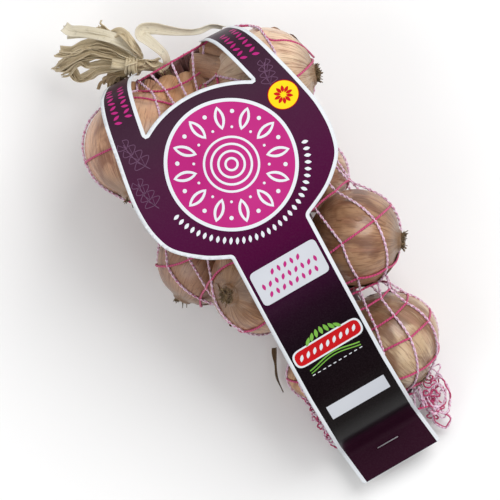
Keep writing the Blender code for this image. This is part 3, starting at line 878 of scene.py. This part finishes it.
def add_wraps(material):
    """Turns of raffia round the stems, with a knot."""
    axis = unit(TIE_TOWARDS)
    side = unit(np.cross(axis, (0, 0, 1)))
    over = np.cross(side, axis)
    shape = Shape()
    rng = np.random.default_rng(3)
    for turn_number in range(TIE_TURNS):
        turn = np.linspace(0, 2 * np.pi, 49)
        along = -3.0 + 1.5 * turn_number + 0.5 * np.sin(turn + turn_number)
        out = 5.1 + 0.35 * (turn_number % 2) + 0.2 * np.sin(3 * turn + turn_number)
        path = np.array(TIE_PLACE) + along[:, None] * axis + circled(turn, out, side, over)
        radii = 0.95 + 0.15 * np.sin(5 * turn + rng.uniform(0, 6))
        shape.tube(path, radii, 8, 0, squeeze=0.6, closed=True)
    knot = np.array(TIE_PLACE) + 5.2 * over
    loop = (knot - 3 * axis + side, knot + 1.4 * over, knot + 3 * axis - side, knot + 0.6 * over + 2 * side)
    shape.tube(smooth_path(loop, 0.6), 0.9, 8, 0, squeeze=0.7)
    return shape.piece("raffia_wraps", (material,), ("raffia_tie",))


def add_ribbon(material):
    """The flat ribbon of raffia that the string hangs by."""
    path = smooth_path(RIBBON, 0.8)
    t = np.linspace(0, 1, len(path))
    widths = 3.0 + 4.2 * np.exp(-((t - 0.36) / 0.20) ** 2) + 0.4 * np.sin(9 * t)
    tilt = 15 + 12 * np.sin(5 * t) + 50 * np.clip((t - 0.72) / 0.15, 0, 1)
    shape = Shape()
    shape.strip(path, widths, tilt, 0.45, 0)
    return shape.piece("hanging_ribbon", (material,), ())


# Net


def skin_reach():
    """Cosines of the angle from the neck, and how far out the skin is there for a radius of one."""
    profile = np.array(ONION_PROFILE)[::-1]
    size = np.linalg.norm(profile, axis=1)
    return profile[:, 1] / size, size


def pushed_out(points, clear):
    """How far each point must move to keep clear of every onion."""
    move = np.zeros_like(points)
    cosines, sizes = skin_reach()
    for _, centre, radius, neck, _ in ONIONS:
        away = points - np.array(centre, float)
        distance = np.maximum(np.linalg.norm(away, axis=-1, keepdims=True), 1e-6)
        skin = radius * np.interp(away @ unit(neck) / distance[..., 0], cosines, sizes)
        short = np.clip(skin[..., None] + clear - distance, 0, None)
        move += away / distance * short
    return move


def start_net():
    """The net's crossings before it is pulled tight: rings round the axis."""
    axis = smoothed(NET_AXIS, 12)
    along = np.linspace(0, len(axis) - 1, NET_ROWS + 1)
    nodes = np.zeros((NET_ROWS + 1, NET_WALES, 3))
    turn = 2 * np.pi * np.arange(NET_WALES) / NET_WALES
    across, up = np.cos(turn)[:, None], np.sin(turn)[:, None]
    for row, place in enumerate(along):
        middle = axis[int(round(place))]
        nodes[row] = middle + across * np.array((NET_WIDE, 0.0, 0.0)) + up * np.array((0.0, 0.0, NET_HIGH))
    for row, bunch, (middle, wide, high) in ((0, NET_TOP_BUNCH, NET_TOP), (NET_ROWS, 0.0, NET_END)):
        bunched = turn - bunch * np.cos(turn) - (NET_TOP_TURN if row == 0 else 0.0)
        across, up = np.cos(bunched)[:, None], np.sin(bunched)[:, None]
        nodes[row] = np.array(middle) + across * np.array(wide) + up * np.array(high)
    return nodes


def drawn_in(nodes):
    """Pulls the net's crossings over the onions."""
    ends = nodes[[0, -1]].copy()
    places = nodes[:, :, 1].mean(axis=1)
    for _ in range(DRAW_ROUNDS):
        nodes[..., 1] += (places - nodes[:, :, 1].mean(axis=1))[:, None]
        ring = RING_PULL * (np.roll(nodes, 1, 1) + np.roll(nodes, -1, 1))[1:-1]
        middle = (nodes[:-2] + nodes[2:] + ring) / (2 + 2 * RING_PULL)
        nodes[1:-1] += DRAW_PULL * (middle - nodes[1:-1])
        nodes += pushed_out(nodes, CHAIN_RADIUS)
        for part in (0.3, 0.7):
            ahead = np.roll(nodes, -1, 1)
            move = pushed_out(nodes * (1 - part) + ahead * part, CHAIN_RADIUS)
            nodes += 0.6 * (move + np.roll(move, 1, 1))
            move = pushed_out(nodes[:-1] * (1 - part) + nodes[1:] * part, CHAIN_RADIUS)
            nodes[:-1] += 0.6 * move
            nodes[1:] += 0.6 * move
        nodes[..., 2] = np.maximum(nodes[..., 2], OVER_TABLE)
        nodes[[0, -1]] = ends
    return nodes


def slanted(nodes):
    """The rows beside the card's right edge hang lower towards the outside."""
    beside = np.clip(nodes[1:-1, :, 0] - ROW_SLANT_FROM, 0, None)
    near = np.exp(-((nodes[1:-1, :, 1] - ROW_SLANT_Y) / ROW_SLANT_REACH) ** 2)
    nodes[1:-1, :, 1] -= ROW_SLANT * beside * near
    return nodes


def halved(line):
    """Each inner point of the lines moved halfway to the middle of its neighbours."""
    return line[1:-1] / 2 + (line[:-2] + line[2:]) / 4


def tight_strands(nodes, card):
    """Strands with points between the crossings, pulled tight so that they hug the onions."""
    t = (np.arange(NET_STEPS) / NET_STEPS)[:, None]
    chains = nodes[:-1, None] * (1 - t[:, None]) + nodes[1:, None] * t[:, None]
    chains = np.vstack([chains.reshape(-1, NET_WALES, 3), nodes[-1:]])
    rings = nodes[:, :, None] * (1 - t) + np.roll(nodes, -1, 1)[:, :, None] * t
    rings = rings.reshape(NET_ROWS + 1, -1, 3)
    ends = nodes[[0, -1]].copy()
    end_rings = rings[[0, -1]].copy()
    places = rings[:, :, 1].mean(axis=1)
    for _ in range(TIGHT_ROUNDS):
        chains[1:-1] = halved(chains)
        around = np.concatenate([rings[:, -1:], rings, rings[:, :1]], axis=1).swapaxes(0, 1)
        rings[:] = halved(around).swapaxes(0, 1)
        rings[..., 1] += (places - rings[:, :, 1].mean(axis=1))[:, None]
        crossings = (chains[::NET_STEPS] + RING_PULL * rings[:, ::NET_STEPS]) / (1 + RING_PULL)
        chains[::NET_STEPS] = crossings
        rings[:, ::NET_STEPS] = crossings
        for points, clear in ((chains, CHAIN_RADIUS + CHAIN_TWIST), (rings, RING_RADIUS)):
            points += pushed_out(points, clear)
            points[..., 2] = np.clip(points[..., 2], OVER_TABLE, card.roof(points))
        chains[[0, -1]] = ends
        rings[[0, -1]] = end_rings
    return chains, rings


def knitted(shape, path, number):
    """Two threads twisted round each other, thicker and thinner in turn."""
    path = spaced(path, KNIT_STEP)
    along = np.arange(len(path)) * KNIT_STEP
    across, over = sides_of(path)
    for side in (0, 1):
        turn = 2 * np.pi * (along / CHAIN_PITCH + side / 2) + number
        radii = CHAIN_RADIUS + 0.10 * np.sin(2 * np.pi * along / 1.3 + number + side)
        shape.tube(path + circled(turn, CHAIN_TWIST, across, over), radii, 5, 0)


def hugging(route, clear):
    """A smooth strand along a route, kept off the onions."""
    path = smooth_path(route, 0.7)
    for _ in range(4):
        path = path + pushed_out(path, clear)
        path[1:-1] = halved(path)
    return path


def add_net(lavender, pink, card):
    """Knitted lavender chains along the net and thin pink threads round it."""
    chains, rings = tight_strands(slanted(drawn_in(start_net())), card)
    shape = Shape()
    for wale in range(NET_WALES):
        knitted(shape, smoothed(chains[:, wale], 4), wale)
    knitted(shape, hugging(OVER_CHAIN, CHAIN_RADIUS + CHAIN_TWIST), 0)
    shape.piece("net_chains", (lavender,), ("net",))
    shape = Shape()
    for ring in rings:
        path = smooth_path(np.vstack([ring, ring[:1]]), 0.7, 4)
        wave = 0.10 * np.sin(np.arange(len(path)) * 2.1)
        shape.tube(path, RING_RADIUS + wave, 6, 0, closed=True)
    shape.tube(hugging(OVER_RING, RING_RADIUS), RING_RADIUS, 6, 0)
    shape.piece("net_rings", (pink,), ("net",))


# Card


def tail_lean(y):
    """How far the tail of the card leans sideways at this y."""
    return np.interp(y, *TAIL_LEAN)


class Card:
    """The card's bent shape: from its flat drawing to the drawing's frame."""

    def __init__(self):
        points = smoothed([(0.0, y, z) for y, z in CARD_ROUTE], 12)[:, 1:]
        points[:, 1] = np.maximum(points[:, 1], CARD_THICKNESS / 2)
        along = distances(points)
        top = np.argmin(np.abs(points[:, 0]) + (points[:, 1] < 50) * 999)
        self.points = points
        self.along = along - along[top]
        self.fold = float(self.along[np.argmax(points[:, 0])])
        tangents = unit(np.gradient(points, axis=0))
        self.out = np.stack([-tangents[:, 1], tangents[:, 0]], axis=1)

    def front_height(self, y):
        """Height of the card's front over the table at this y."""
        front = self.along <= self.fold
        return np.interp(y, self.points[front, 0], self.points[front, 1])

    def front_along(self, y):
        """Distance along the card's front at this y."""
        front = self.along <= self.fold
        return float(np.interp(y, self.points[front, 0], self.along[front]))

    def roof(self, points):
        """How high a strand may go at these points: just under the card's front."""
        y = points[..., 1]
        under = (y > UNDER_CARD_Y[0]) & (y < UNDER_CARD_Y[1]) & (points[..., 2] > UNDER_CARD_FROM_Z)
        return np.where(under, self.front_height(y) - UNDER_CARD, 1000.0)

    def place(self, flat, lift):
        """Points of the flat card in the drawing's frame, raised off its middle by lift."""
        x, s = flat[:, 0], flat[:, 1]
        y = np.interp(s, self.along, self.points[:, 0])
        z = np.interp(s, self.along, self.points[:, 1])
        out_y = np.interp(s, self.along, self.out[:, 0])
        out_z = np.interp(s, self.along, self.out[:, 1])
        window = np.clip((s + 150) / 25, 0, 1) * np.clip((60 - s) / 25, 0, 1)
        uneven = 0.35 * np.sin(x / 13 + s / 31 + 0.8) + 0.30 * np.sin(s / 17 - x / 29) - 0.35
        lift = lift + window * uneven
        front = np.clip((z - 5) / 20, 0, 1)
        slant = FOLD_SLANT * x * np.clip((y - 5) / 35, 0, 1) * front
        lean = tail_lean(y) * np.where(y > 0, front, z > 2.5)
        return np.stack([x + lean, y - slant + lift * out_y, z + lift * out_z], axis=1)


def bend(here, before, after, reach, steps):
    """A curve past a corner; reach is how far from it the curve starts and ends."""
    a = here + unit(before - here) * reach[0]
    b = here + unit(after - here) * reach[1]
    return [tuple((1 - t) ** 2 * a + 2 * t * (1 - t) * here + t**2 * b) for t in np.linspace(0, 1, steps)]


def rounded(loop, radius, steps=5):
    """The loop with each sharp corner rounded off."""
    found = []
    count = len(loop)
    for i in range(count):
        before, here, after = (np.array(loop[(i + k) % count], float) for k in (-1, 0, 1))
        first, second = before - here, after - here
        turn = abs(math.pi - math.acos(np.clip(unit(first) @ unit(second), -1, 1)))
        if turn < 0.35:
            found.append(tuple(here))
            continue
        reach = min(radius, 0.45 * np.linalg.norm(first), 0.45 * np.linalg.norm(second))
        found += bend(here, before, after, (reach, reach), steps)
    return found


def rounded_line(corners, radius):
    """An open line with its inner corners rounded."""
    found = [corners[0]]
    for before, here, after in zip(corners, corners[1:], corners[2:]):
        before, here, after = (np.array(p, float) for p in (before, here, after))
        reach = [min(radius, 0.4 * np.linalg.norm(end - here)) for end in (before, after)]
        found += bend(here, before, after, reach, 6)
    return found + [corners[-1]]


def inset(loop, distance):
    """The loop moved inwards, or outwards for a negative distance."""
    points = np.array(loop, float)
    before = unit(points - np.roll(points, 1, axis=0))
    after = unit(np.roll(points, -1, axis=0) - points)
    area = np.sum(points[:, 0] * np.roll(points[:, 1], -1) - np.roll(points[:, 0], -1) * points[:, 1])
    side = np.sign(area)
    normal = unit(np.stack([-(before + after)[:, 1], (before + after)[:, 0]], axis=1)) * side
    edge_normal = np.stack([-before[:, 1], before[:, 0]], axis=1)
    cosine = np.clip(np.sum(normal * edge_normal * side, axis=1), 0.5, 1)
    return [tuple(p) for p in points + normal * (distance / cosine)[:, None]]


def card_outline(card):
    """The outside edge of the flat card, as x and distance along it."""
    start, end, fold = card.along[0], card.along[-1], card.fold
    corners = (NECK_CORNER,) + FRONT_OUTLINE + ((FOLD_HALF_WIDTH, fold),)
    curve = spaced(np.array([(x, s, 0.0) for x, s in corners]), 2.0)
    for _ in range(10):
        curve[1:-1] = halved(curve)
    front = [(TAIL_HALF_WIDTH, start)] + [(x, s) for x, s, _ in curve]
    back = []
    for x, s in reversed(front[1:-1]):
        widened = min(max((fold - s - 40) / 25, 0), 1)
        back.append((FOLD_HALF_WIDTH + (x - FOLD_HALF_WIDTH) * widened, 2 * fold - s))
    back.append((TAIL_HALF_WIDTH, end))
    right = front + back
    return rounded(right + [(-x, s) for x, s in reversed(right)], 1.0)


def card_hole(card):
    """The hole that the stems come out of, over the top fold."""
    first = math.asin(HOLE_CORNER_X / HOLE_ARC_RADIUS)
    arc = []
    for turn in np.linspace(first, -first, 31):
        arc.append((HOLE_ARC_RADIUS * math.sin(turn), HOLE_ARC_CENTRE + HOLE_ARC_RADIUS * math.cos(turn)))
    back = [(-x, 2 * card.fold - s) for x, s in arc]
    left, right = (-HOLE_HALF_AT_FOLD, card.fold), (HOLE_HALF_AT_FOLD, card.fold)
    return rounded(arc + [left] + back + [right], 1.6)


def filled(work, loops, slot):
    """Fills the area between loops in the flat card, in one material."""
    edges = []
    for loop in loops:
        verts = [work.verts.new((x, s, 0.0)) for x, s in loop]
        edges += [work.edges.new(pair) for pair in zip(verts, verts[1:] + verts[:1])]
    made = bmesh.ops.triangle_fill(work, edges=edges, use_beauty=True)
    for item in made["geom"]:
        if isinstance(item, bmesh.types.BMFace):
            item.material_index = slot
            if item.normal.z < 0:
                item.normal_flip()


def scored(work, axis, places):
    """Cuts the flat card across at each place, so that it can bend there."""
    for place in places:
        middle = [0.0, 0.0, 0.0]
        middle[axis] = float(place)
        normal = [0.0, 0.0, 0.0]
        normal[axis] = 1.0
        everything = list(work.verts) + list(work.edges) + list(work.faces)
        bmesh.ops.bisect_plane(work, geom=everything, dist=0.001, plane_co=middle, plane_no=normal)


def bent(work, card, lift, name, materials, replaced=()):
    """Bends the flat work onto the card and makes it a piece."""
    flat = np.array([vert.co[:2] for vert in work.verts])
    layer = work.loops.layers.uv.new("place")
    for face in work.faces:
        face.smooth = True
        for corner in face.loops:
            corner[layer].uv = (corner.vert.co.x / 100, corner.vert.co.y / 100)
    for vert, point in zip(work.verts, at(card.place(flat, lift))):
        vert.co = point
    mesh = bpy.data.meshes.new(name)
    work.to_mesh(mesh)
    work.free()
    for material in materials:
        mesh.materials.append(material)
    return placed(name, mesh, replaced)


def add_card(card, materials):
    """The card itself: print, white edge and dark inside."""
    outline, hole = card_outline(card), card_hole(card)
    low, high = card.along[0], card.along[-1]
    inner = [(x, low + 0.05 if s < low + 3 else high - 0.05 if s > high - 3 else s)
             for x, s in inset(outline, BORDER)]
    work = bmesh.new()
    filled(work, [outline, inner], 1)
    filled(work, [inner, inset(hole, -BORDER)], 0)
    filled(work, [inset(hole, -BORDER), hole], 1)
    bmesh.ops.remove_doubles(work, verts=work.verts, dist=0.01)
    scored(work, 1, np.arange(card.along[0] + 2, card.along[-1], BEND_STEP))
    scored(work, 0, np.arange(-CROSS_REACH, CROSS_REACH + 1, CROSS_STEP))
    made = bent(work, card, CARD_THICKNESS / 2, "card_wrap", materials, replaced=("label_card",))
    sheet = thicken(made, CARD_THICKNESS)
    sheet.offset = -1.0
    sheet.material_offset = 2
    sheet.material_offset_rim = 0


# Print on the card


def circle(x, s, radius, count=64):
    """A ring of points."""
    turn = 2 * np.pi * np.arange(count) / count
    return [(x + radius * math.cos(t), s + radius * math.sin(t)) for t in turn]


def box_loop(x, s, width, height, corner):
    """A rectangle with rounded corners."""
    w, h = width / 2, height / 2
    return rounded([(x - w, s - h), (x + w, s - h), (x + w, s + h), (x - w, s + h)], corner, 7)


def stroke(path, width):
    """A line of even width with round ends, as one loop."""
    path = np.array(path, float)
    tangents = unit(np.gradient(path, axis=0))
    normal = np.stack([-tangents[:, 1], tangents[:, 0]], axis=1) * width / 2
    left, right = path + normal, path - normal
    ends = []
    for middle, edge in ((path[-1], left[-1]), (path[0], right[0])):
        x, s = edge - middle
        for t in np.linspace(0, -math.pi, 6)[1:-1]:
            c, q = math.cos(t), math.sin(t)
            ends.append(middle + (x * c - s * q, x * q + s * c))
    half = len(ends) // 2
    loop = list(left) + ends[:half] + list(right[::-1]) + ends[half:]
    return [tuple(p) for p in loop]


def leaf_mark(x, s, length, width, angle):
    """A pointed leaf shape, turned by angle."""
    t = np.linspace(0, 1, 9)
    half = width / 2 * np.sin(np.pi * t) ** 0.8
    along = length * (t - 0.5)
    upper = np.stack([along, half], axis=1)
    lower = np.stack([along[::-1], -half[::-1]], axis=1)[1:-1]
    points = np.vstack([upper, lower])
    c, q = math.cos(angle), math.sin(angle)
    return [(x + c * a - q * b, s + q * a + c * b) for a, b in points]


def printed(card, name, material, lift, fills):
    """Printed shapes of one colour; each fill is an outline and the holes in it."""
    work = bmesh.new()
    for loops in fills:
        filled(work, loops, 0)
    low = min(v.co.y for v in work.verts)
    high = max(v.co.y for v in work.verts)
    scored(work, 1, np.arange(low + 1, high, BEND_STEP))
    scored(work, 0, np.arange(-CROSS_REACH, CROSS_REACH + 1, CROSS_STEP))
    bent(work, card, CARD_THICKNESS / 2 + lift, name, (material,))


def around(radius, angle):
    """A place on a circle round the emblem's centre."""
    return radius * math.cos(angle), radius * math.sin(angle)


def emblem():
    """The emblem: rings of a cut onion in the middle, leaves and dots round them."""
    fills = [(circle(0, 0, DISC_RADIUS, 120), circle(0, 0, DISC_RADIUS - 1.9, 120))]
    for radius in ONION_RINGS:
        fills.append((circle(0, 0, radius + RING_HALF, 72), circle(0, 0, radius - RING_HALF, 72)))
    for number in range(12):
        angle = 2 * math.pi * (number + 0.5) / 12
        place = around(25.4, angle)
        fills.append((leaf_mark(*place, 13.0, 5.6, angle), leaf_mark(*place, 9.2, 2.6, angle)))
    for number in range(12):
        angle = 2 * math.pi * number / 12
        fills.append((circle(*around(28.6, angle), 1.15, 16),))
        fills.append((circle(*around(20.0, angle), 0.75, 14),))
    return fills


def small_marks(card):
    """An arc of small leaves under the emblem, and a row of dashes on the tail."""
    fills = []
    for degrees in np.arange(-166, -13, 5.1):
        angle = math.radians(degrees)
        fills.append((leaf_mark(*around(40.6, angle), 3.8, 1.9, angle),))
    for x in np.arange(-14.4, 15, 3.2):
        fills.append((box_loop(x, card.front_along(DASHES_Y), 1.7, 0.55, 0.2),))
    return fills


def panel_marks(card):
    """Rows of small leaves on the upper panel."""
    fills = []
    for row, (rise, count) in enumerate(((5.2, 5), (0.0, 9), (-5.2, 8))):
        s = card.front_along(PANEL_Y) + rise
        for number in range(count):
            x = (number - (count - 1) / 2) * 3.9
            angle = math.radians(90 if (number + row) % 2 else 60)
            fills.append((leaf_mark(x, s, 3.6, 1.8, angle),))
    return fills


def arm_marks():
    """Two rows of small leaves on each arm, near the fold."""
    fills = []
    for side in (-1, 1):
        for row in (0, 1):
            for number in range(9 - row):
                s = ARM_ROW_START + 3.3 * number + 1.2 * row
                x = side * (40.8 - 0.16 * (s - ARM_ROW_START) - 6.4 * row)
                fills.append((leaf_mark(x, s, 4.2, 1.7, math.radians(20 if number % 2 else -20)),))
    return fills


def sprig(x, s, turn, size):
    """A faint line drawing of a sprig with leaves."""
    c, q = math.cos(turn), math.sin(turn)
    fills = []

    def draw(points, width):
        moved = [(x + size * (c * a - q * b), s + size * (q * a + c * b)) for a, b in points]
        fills.append((stroke(moved, width),))

    t = np.linspace(0, 1, 14)
    draw(zip(12 * t - 6, 1.2 * np.sin(3 * t)), 0.45)
    for number in range(4):
        a = -4.2 + 2.9 * number
        for side in (-1, 1):
            rise = side * (3.0 - 0.3 * number)
            k = np.linspace(0, 1, 9)
            draw(zip(a + 3.0 * k, 0.4 + rise * np.sin(math.pi * k) + side * 1.2 * k), 0.36)
            k = np.linspace(0, 1, 5)
            draw(zip(a + 3.0 * k, 0.4 + side * 1.2 * k), 0.28)
    return fills


def badge_leaves(middle):
    """Leaves over the badge and two curved lines under it."""
    fills = []
    for number in range(-3, 4):
        angle = math.radians(90 + 13 * number)
        fills.append((leaf_mark(3.0 * number, middle + 9.1 - 0.25 * number**2, 5.4, 2.1, angle),))
    for row, drop in enumerate((7.9, 9.7)):
        path = [(15 * k, middle - drop + 1.6 * math.cos(2.6 * k)) for k in np.linspace(-1, 1, 24)]
        fills.append((stroke(path, 0.8 - 0.2 * row),))
    return fills


def sticker_flower(x, s):
    """The ring and the flower on the round sticker."""
    fills = [(circle(x, s, 8.45, 48), circle(x, s, 8.05, 48))]
    for number in range(10):
        angle = 2 * math.pi * number / 10
        out, up = around(3.4, angle)
        fills.append((leaf_mark(x + out, s + up, 4.0, 1.9, angle),))
    return fills


def add_print(card, inks):
    """Everything printed on the front of the card, and the sticker."""
    panel, low_panel = card.front_along(PANEL_Y), card.front_along(LOW_PANEL_Y)
    badge = card.front_along(BADGE_Y)
    panels = [(box_loop(0.0, panel, 40.0, 19.6, 3.2),), (box_loop(0.0, low_panel, 35.2, 8.7, 0.3),)]
    beads = [(leaf_mark(4.0 * number, badge, 4.4, 1.9, math.radians(60)),) for number in range(-4, 5)]
    sprigs = [fill for row in SPRIGS for fill in sprig(*row)]
    disc = [(circle(0, 0, DISC_RADIUS - 1.0, 96),)] + arm_marks()
    for name, colour, lift, fills in (
        ("print_disc", "magenta", PRINT_LIFT, disc),
        ("print_emblem", "white", PRINT_OVER, emblem() + small_marks(card)),
        ("print_marks", "magenta", PRINT_OVER, panel_marks(card)),
        ("print_panels", "pale", PRINT_LIFT, panels),
        ("print_badge_edge", "white", PRINT_LIFT, [(box_loop(0.0, badge, 41.5, 11.4, 5.4),)]),
        ("print_badge", "red", PRINT_OVER, [(box_loop(0.0, badge, 39.3, 9.2, 4.4),)]),
        ("print_sprigs", "faint", PRINT_LIFT, sprigs),
        ("print_leaves", "green", 0.07, badge_leaves(badge)),
        ("print_dots", "white", 0.12, beads),
        ("sticker_ground", "yellow", 0.14, [(circle(*STICKER_PLACE, 8.2, 48),)]),
        ("sticker_print", "red", 0.18, sticker_flower(*STICKER_PLACE)),
    ):
        printed(card, name, inks[colour], lift, fills)


# Small pieces


def add_staple(material):
    """A wire staple: a crown on the front, legs bent over behind."""
    route = np.array(CARD_ROUTE, float)
    count = len(route) // 2
    top = float(np.interp(STAPLE_Y, route[:count, 0], route[:count, 1]))
    under = route[count:][::-1]
    low = float(np.interp(STAPLE_Y, under[:, 0], under[:, 1]))
    away = CARD_THICKNESS / 2 + STAPLE_WIRE / 2 + 0.25
    x = float(tail_lean(STAPLE_Y))
    left, right = x - STAPLE_HALF, x + STAPLE_HALF
    corners = (
        (x - 1.5, low - away - 0.3), (left, low - away), (left, top + away),
        (right, top + away), (right, low - away), (x + 1.5, low - away - 0.3),
    )
    path = [(a, STAPLE_Y, z) for a, z in rounded_line(corners, 0.8)]
    shape = Shape()
    shape.tube(path, STAPLE_WIRE / 2, 10, 0, first=(0, 1, 0))
    return shape.piece("staple_wire", (material,), ("staple",))


def add_loops(shape, rng, count, first, last, spread, least, most):
    """Loose loops of thread in both colours, strewn between two places."""
    for number in range(count):
        share = number / count
        middle = (1 - share) * np.array(first) + share * np.array(last)
        middle = middle + rng.normal(0, spread, 3)
        wide = unit((rng.uniform(-1, 1), rng.uniform(-1, 1), rng.uniform(-0.3, 0.3)))
        high = unit(np.cross(wide, (rng.uniform(-0.5, 0.5), rng.uniform(-0.5, 0.5), 1.0)))
        turn = np.linspace(0, 2 * np.pi, 28)
        size = rng.uniform(least, most) * (1 + 0.25 * np.sin(3 * turn + number))
        loop = middle + circled(turn, size, wide, 0.62 * high)
        loop[:, 2] = np.maximum(loop[:, 2], OVER_TABLE)
        shape.tube(loop, 0.46 + 0.10 * np.sin(5 * turn), 6, number % 2)


def add_net_tail(lavender, pink):
    """The gathered end of the net: a knot and loose loops of both threads."""
    shape = Shape()
    rng = np.random.default_rng(21)
    for route in NET_TAIL:
        path = smooth_path(route, 0.5)
        shape.tube(path, 0.55 + 0.12 * np.sin(np.arange(len(path)) * 1.9), 6, 0)
        shape.tube(path + wavy(len(path), rng, 1.2) + (0, 0, 0.4), 0.4, 5, 1)
    for number in range(5):
        start = np.array(KNOT_PLACE) + rng.normal(0, 0.8, 3)
        end = np.array(KNOT_PLACE) + rng.normal(0, 1.0, 3)
        out = start + (rng.uniform(3, 11), rng.uniform(-9, 14), rng.uniform(-4, -1))
        side = np.array((rng.uniform(-4, 4), rng.uniform(-4, 4), 0.5))
        route = (start, (start + out) / 2 + side, out, (end + out) / 2 - side, end)
        shape.tube(smooth_path(route, 0.5), 0.42, 5, number % 2)
    t = np.linspace(0, 4 * math.pi, 30)
    knot = KNOT_PLACE + 2.0 * np.stack([np.cos(t), np.sin(t), 0.6 * np.sin(2 * t)], axis=1)
    shape.tube(knot, 0.75, 8, 0)
    for row in NET_LOOPS:
        add_loops(shape, rng, *row)
    return shape.piece("net_tail_threads", (lavender, pink), ("net_tail",))


def add_dry_leaf(material):
    """The thin brown leaf that sticks out of the net."""
    path = smooth_path(DRY_LEAF, 0.7)
    t = np.linspace(0, 1, len(path))
    shape = Shape()
    shape.strip(path, 3.6 * (1 - 0.7 * t) * (0.8 + 0.2 * np.sin(12 * t)), 35 + 60 * t, 0.8, 0)
    return shape.piece("dry_leaf_blade", (material,), ("dry_leaf",))


# Room


def add_room():
    """A pale floor and soft lights."""
    bpy.ops.mesh.primitive_plane_add(size=6.0, location=(0, 0, 0))
    floor = bpy.context.object
    floor.name = "floor"
    n = Nodes("floor")
    n.set(Base_Color=(0.94, 0.94, 0.94), Roughness=0.9)
    floor.data.materials.append(n.material)
    world = bpy.data.worlds.new("studio")
    world.use_nodes = True
    background = world.node_tree.nodes["Background"]
    background.inputs["Color"].default_value = (1.0, 1.0, 1.0, 1.0)
    background.inputs["Strength"].default_value = 0.42
    bpy.context.scene.world = world
    bpy.context.scene.view_settings.view_transform = "Standard"
    for name, place, size, power in (
        ("key", (1.0, 0.4, 1.4), 1.2, 22.0),
        ("fill", (-1.2, 0.1, 1.2), 1.2, 8.0),
        ("low", (0.5, -1.1, 1.2), 0.9, 4.0),
    ):
        data = bpy.data.lights.new(name, "AREA")
        data.size = size
        data.energy = power
        lamp = bpy.data.objects.new(name, data)
        bpy.context.scene.collection.objects.link(lamp)
        lamp.location = place
        aim = Vector((0, 0, 0.05)) - Vector(place)
        lamp.rotation_euler = aim.to_track_quat("-Z", "Y").to_euler()


def add_camera():
    """The camera, straight over the string and far off, so that heights hardly shift."""
    data = bpy.data.cameras.new("camera")
    data.sensor_width = 36.0
    data.lens = 36.0 * (CAMERA_HEIGHT - CAMERA_AIM[2]) / FIELD
    camera = bpy.data.objects.new("camera", data)
    camera.location = at((CAMERA_AIM[0], CAMERA_AIM[1], CAMERA_HEIGHT))
    camera.rotation_euler = (0.0, 0.0, math.radians(CAMERA_TURN))
    bpy.context.scene.collection.objects.link(camera)
    bpy.context.scene.camera = camera


def make_inks():
    """The print's colours."""
    return {
        "magenta": ink("ink magenta", (0.50, 0.032, 0.215), (0.44, 0.020, 0.18)),
        "white": ink("ink white", (0.74, 0.77, 0.80), (0.70, 0.73, 0.77)),
        "pale": ink("ink pale grey", (0.62, 0.64, 0.68), (0.55, 0.57, 0.62)),
        "red": ink("ink red", (0.62, 0.012, 0.015), (0.50, 0.008, 0.012)),
        "green": ink("ink green", (0.10, 0.34, 0.04), (0.20, 0.45, 0.07)),
        "yellow": ink("ink yellow", (0.90, 0.70, 0.02), (0.86, 0.62, 0.01)),
        "faint": ink("ink faint violet", (0.150, 0.075, 0.135), (0.125, 0.060, 0.110)),
    }


def main():
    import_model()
    roots = root_material()
    for number, row in enumerate(ONIONS):
        add_onion(number, row, roots)
    straw = fibre_material("straw leaf", (0.74, 0.64, 0.45), (0.52, 0.41, 0.25))
    brown = fibre_material("brown leaf", (0.50, 0.38, 0.21), (0.24, 0.15, 0.07))
    pale = fibre_material("pale ribbon", (0.76, 0.70, 0.57), (0.64, 0.57, 0.42), fineness=7.0)
    bark = fibre_material("dark leaf", (0.14, 0.075, 0.025), (0.05, 0.025, 0.010))
    maroon = fibre_material("maroon skin", (0.20, 0.075, 0.060), (0.07, 0.022, 0.022), 0.5)
    orange = fibre_material("orange skin", (0.68, 0.39, 0.21), (0.50, 0.25, 0.12), 0.45, 14.0)
    tan = fibre_material("tan skin", (0.52, 0.30, 0.17), (0.32, 0.16, 0.09), 0.45, 14.0)
    add_core(straw, bark)
    thicken(add_stem_skins(maroon), SKIN_THICKNESS)
    thicken(add_neck_skins(orange, tan), SKIN_THICKNESS)
    thicken(add_tuft(straw, brown, pale), LEAF_THICKNESS)
    thicken(add_ribbon(pale), RIBBON_THICKNESS)
    add_wraps(straw)
    thicken(add_dry_leaf(bark), DRY_LEAF_THICKNESS)
    card = Card()
    lavender = thread_material("lavender thread", (0.78, 0.60, 0.72), (0.60, 0.16, 0.33), 2.3)
    pink = thread_material("pink thread", (0.56, 0.045, 0.17), (0.38, 0.015, 0.08), 1.6)
    add_net(lavender, pink, card)
    add_net_tail(lavender, pink)
    inks = make_inks()
    add_card(card, (card_material(), inks["white"], board_material(), board_material()))
    add_print(card, inks)
    add_staple(steel_material())
    add_room()
    add_camera()


main()
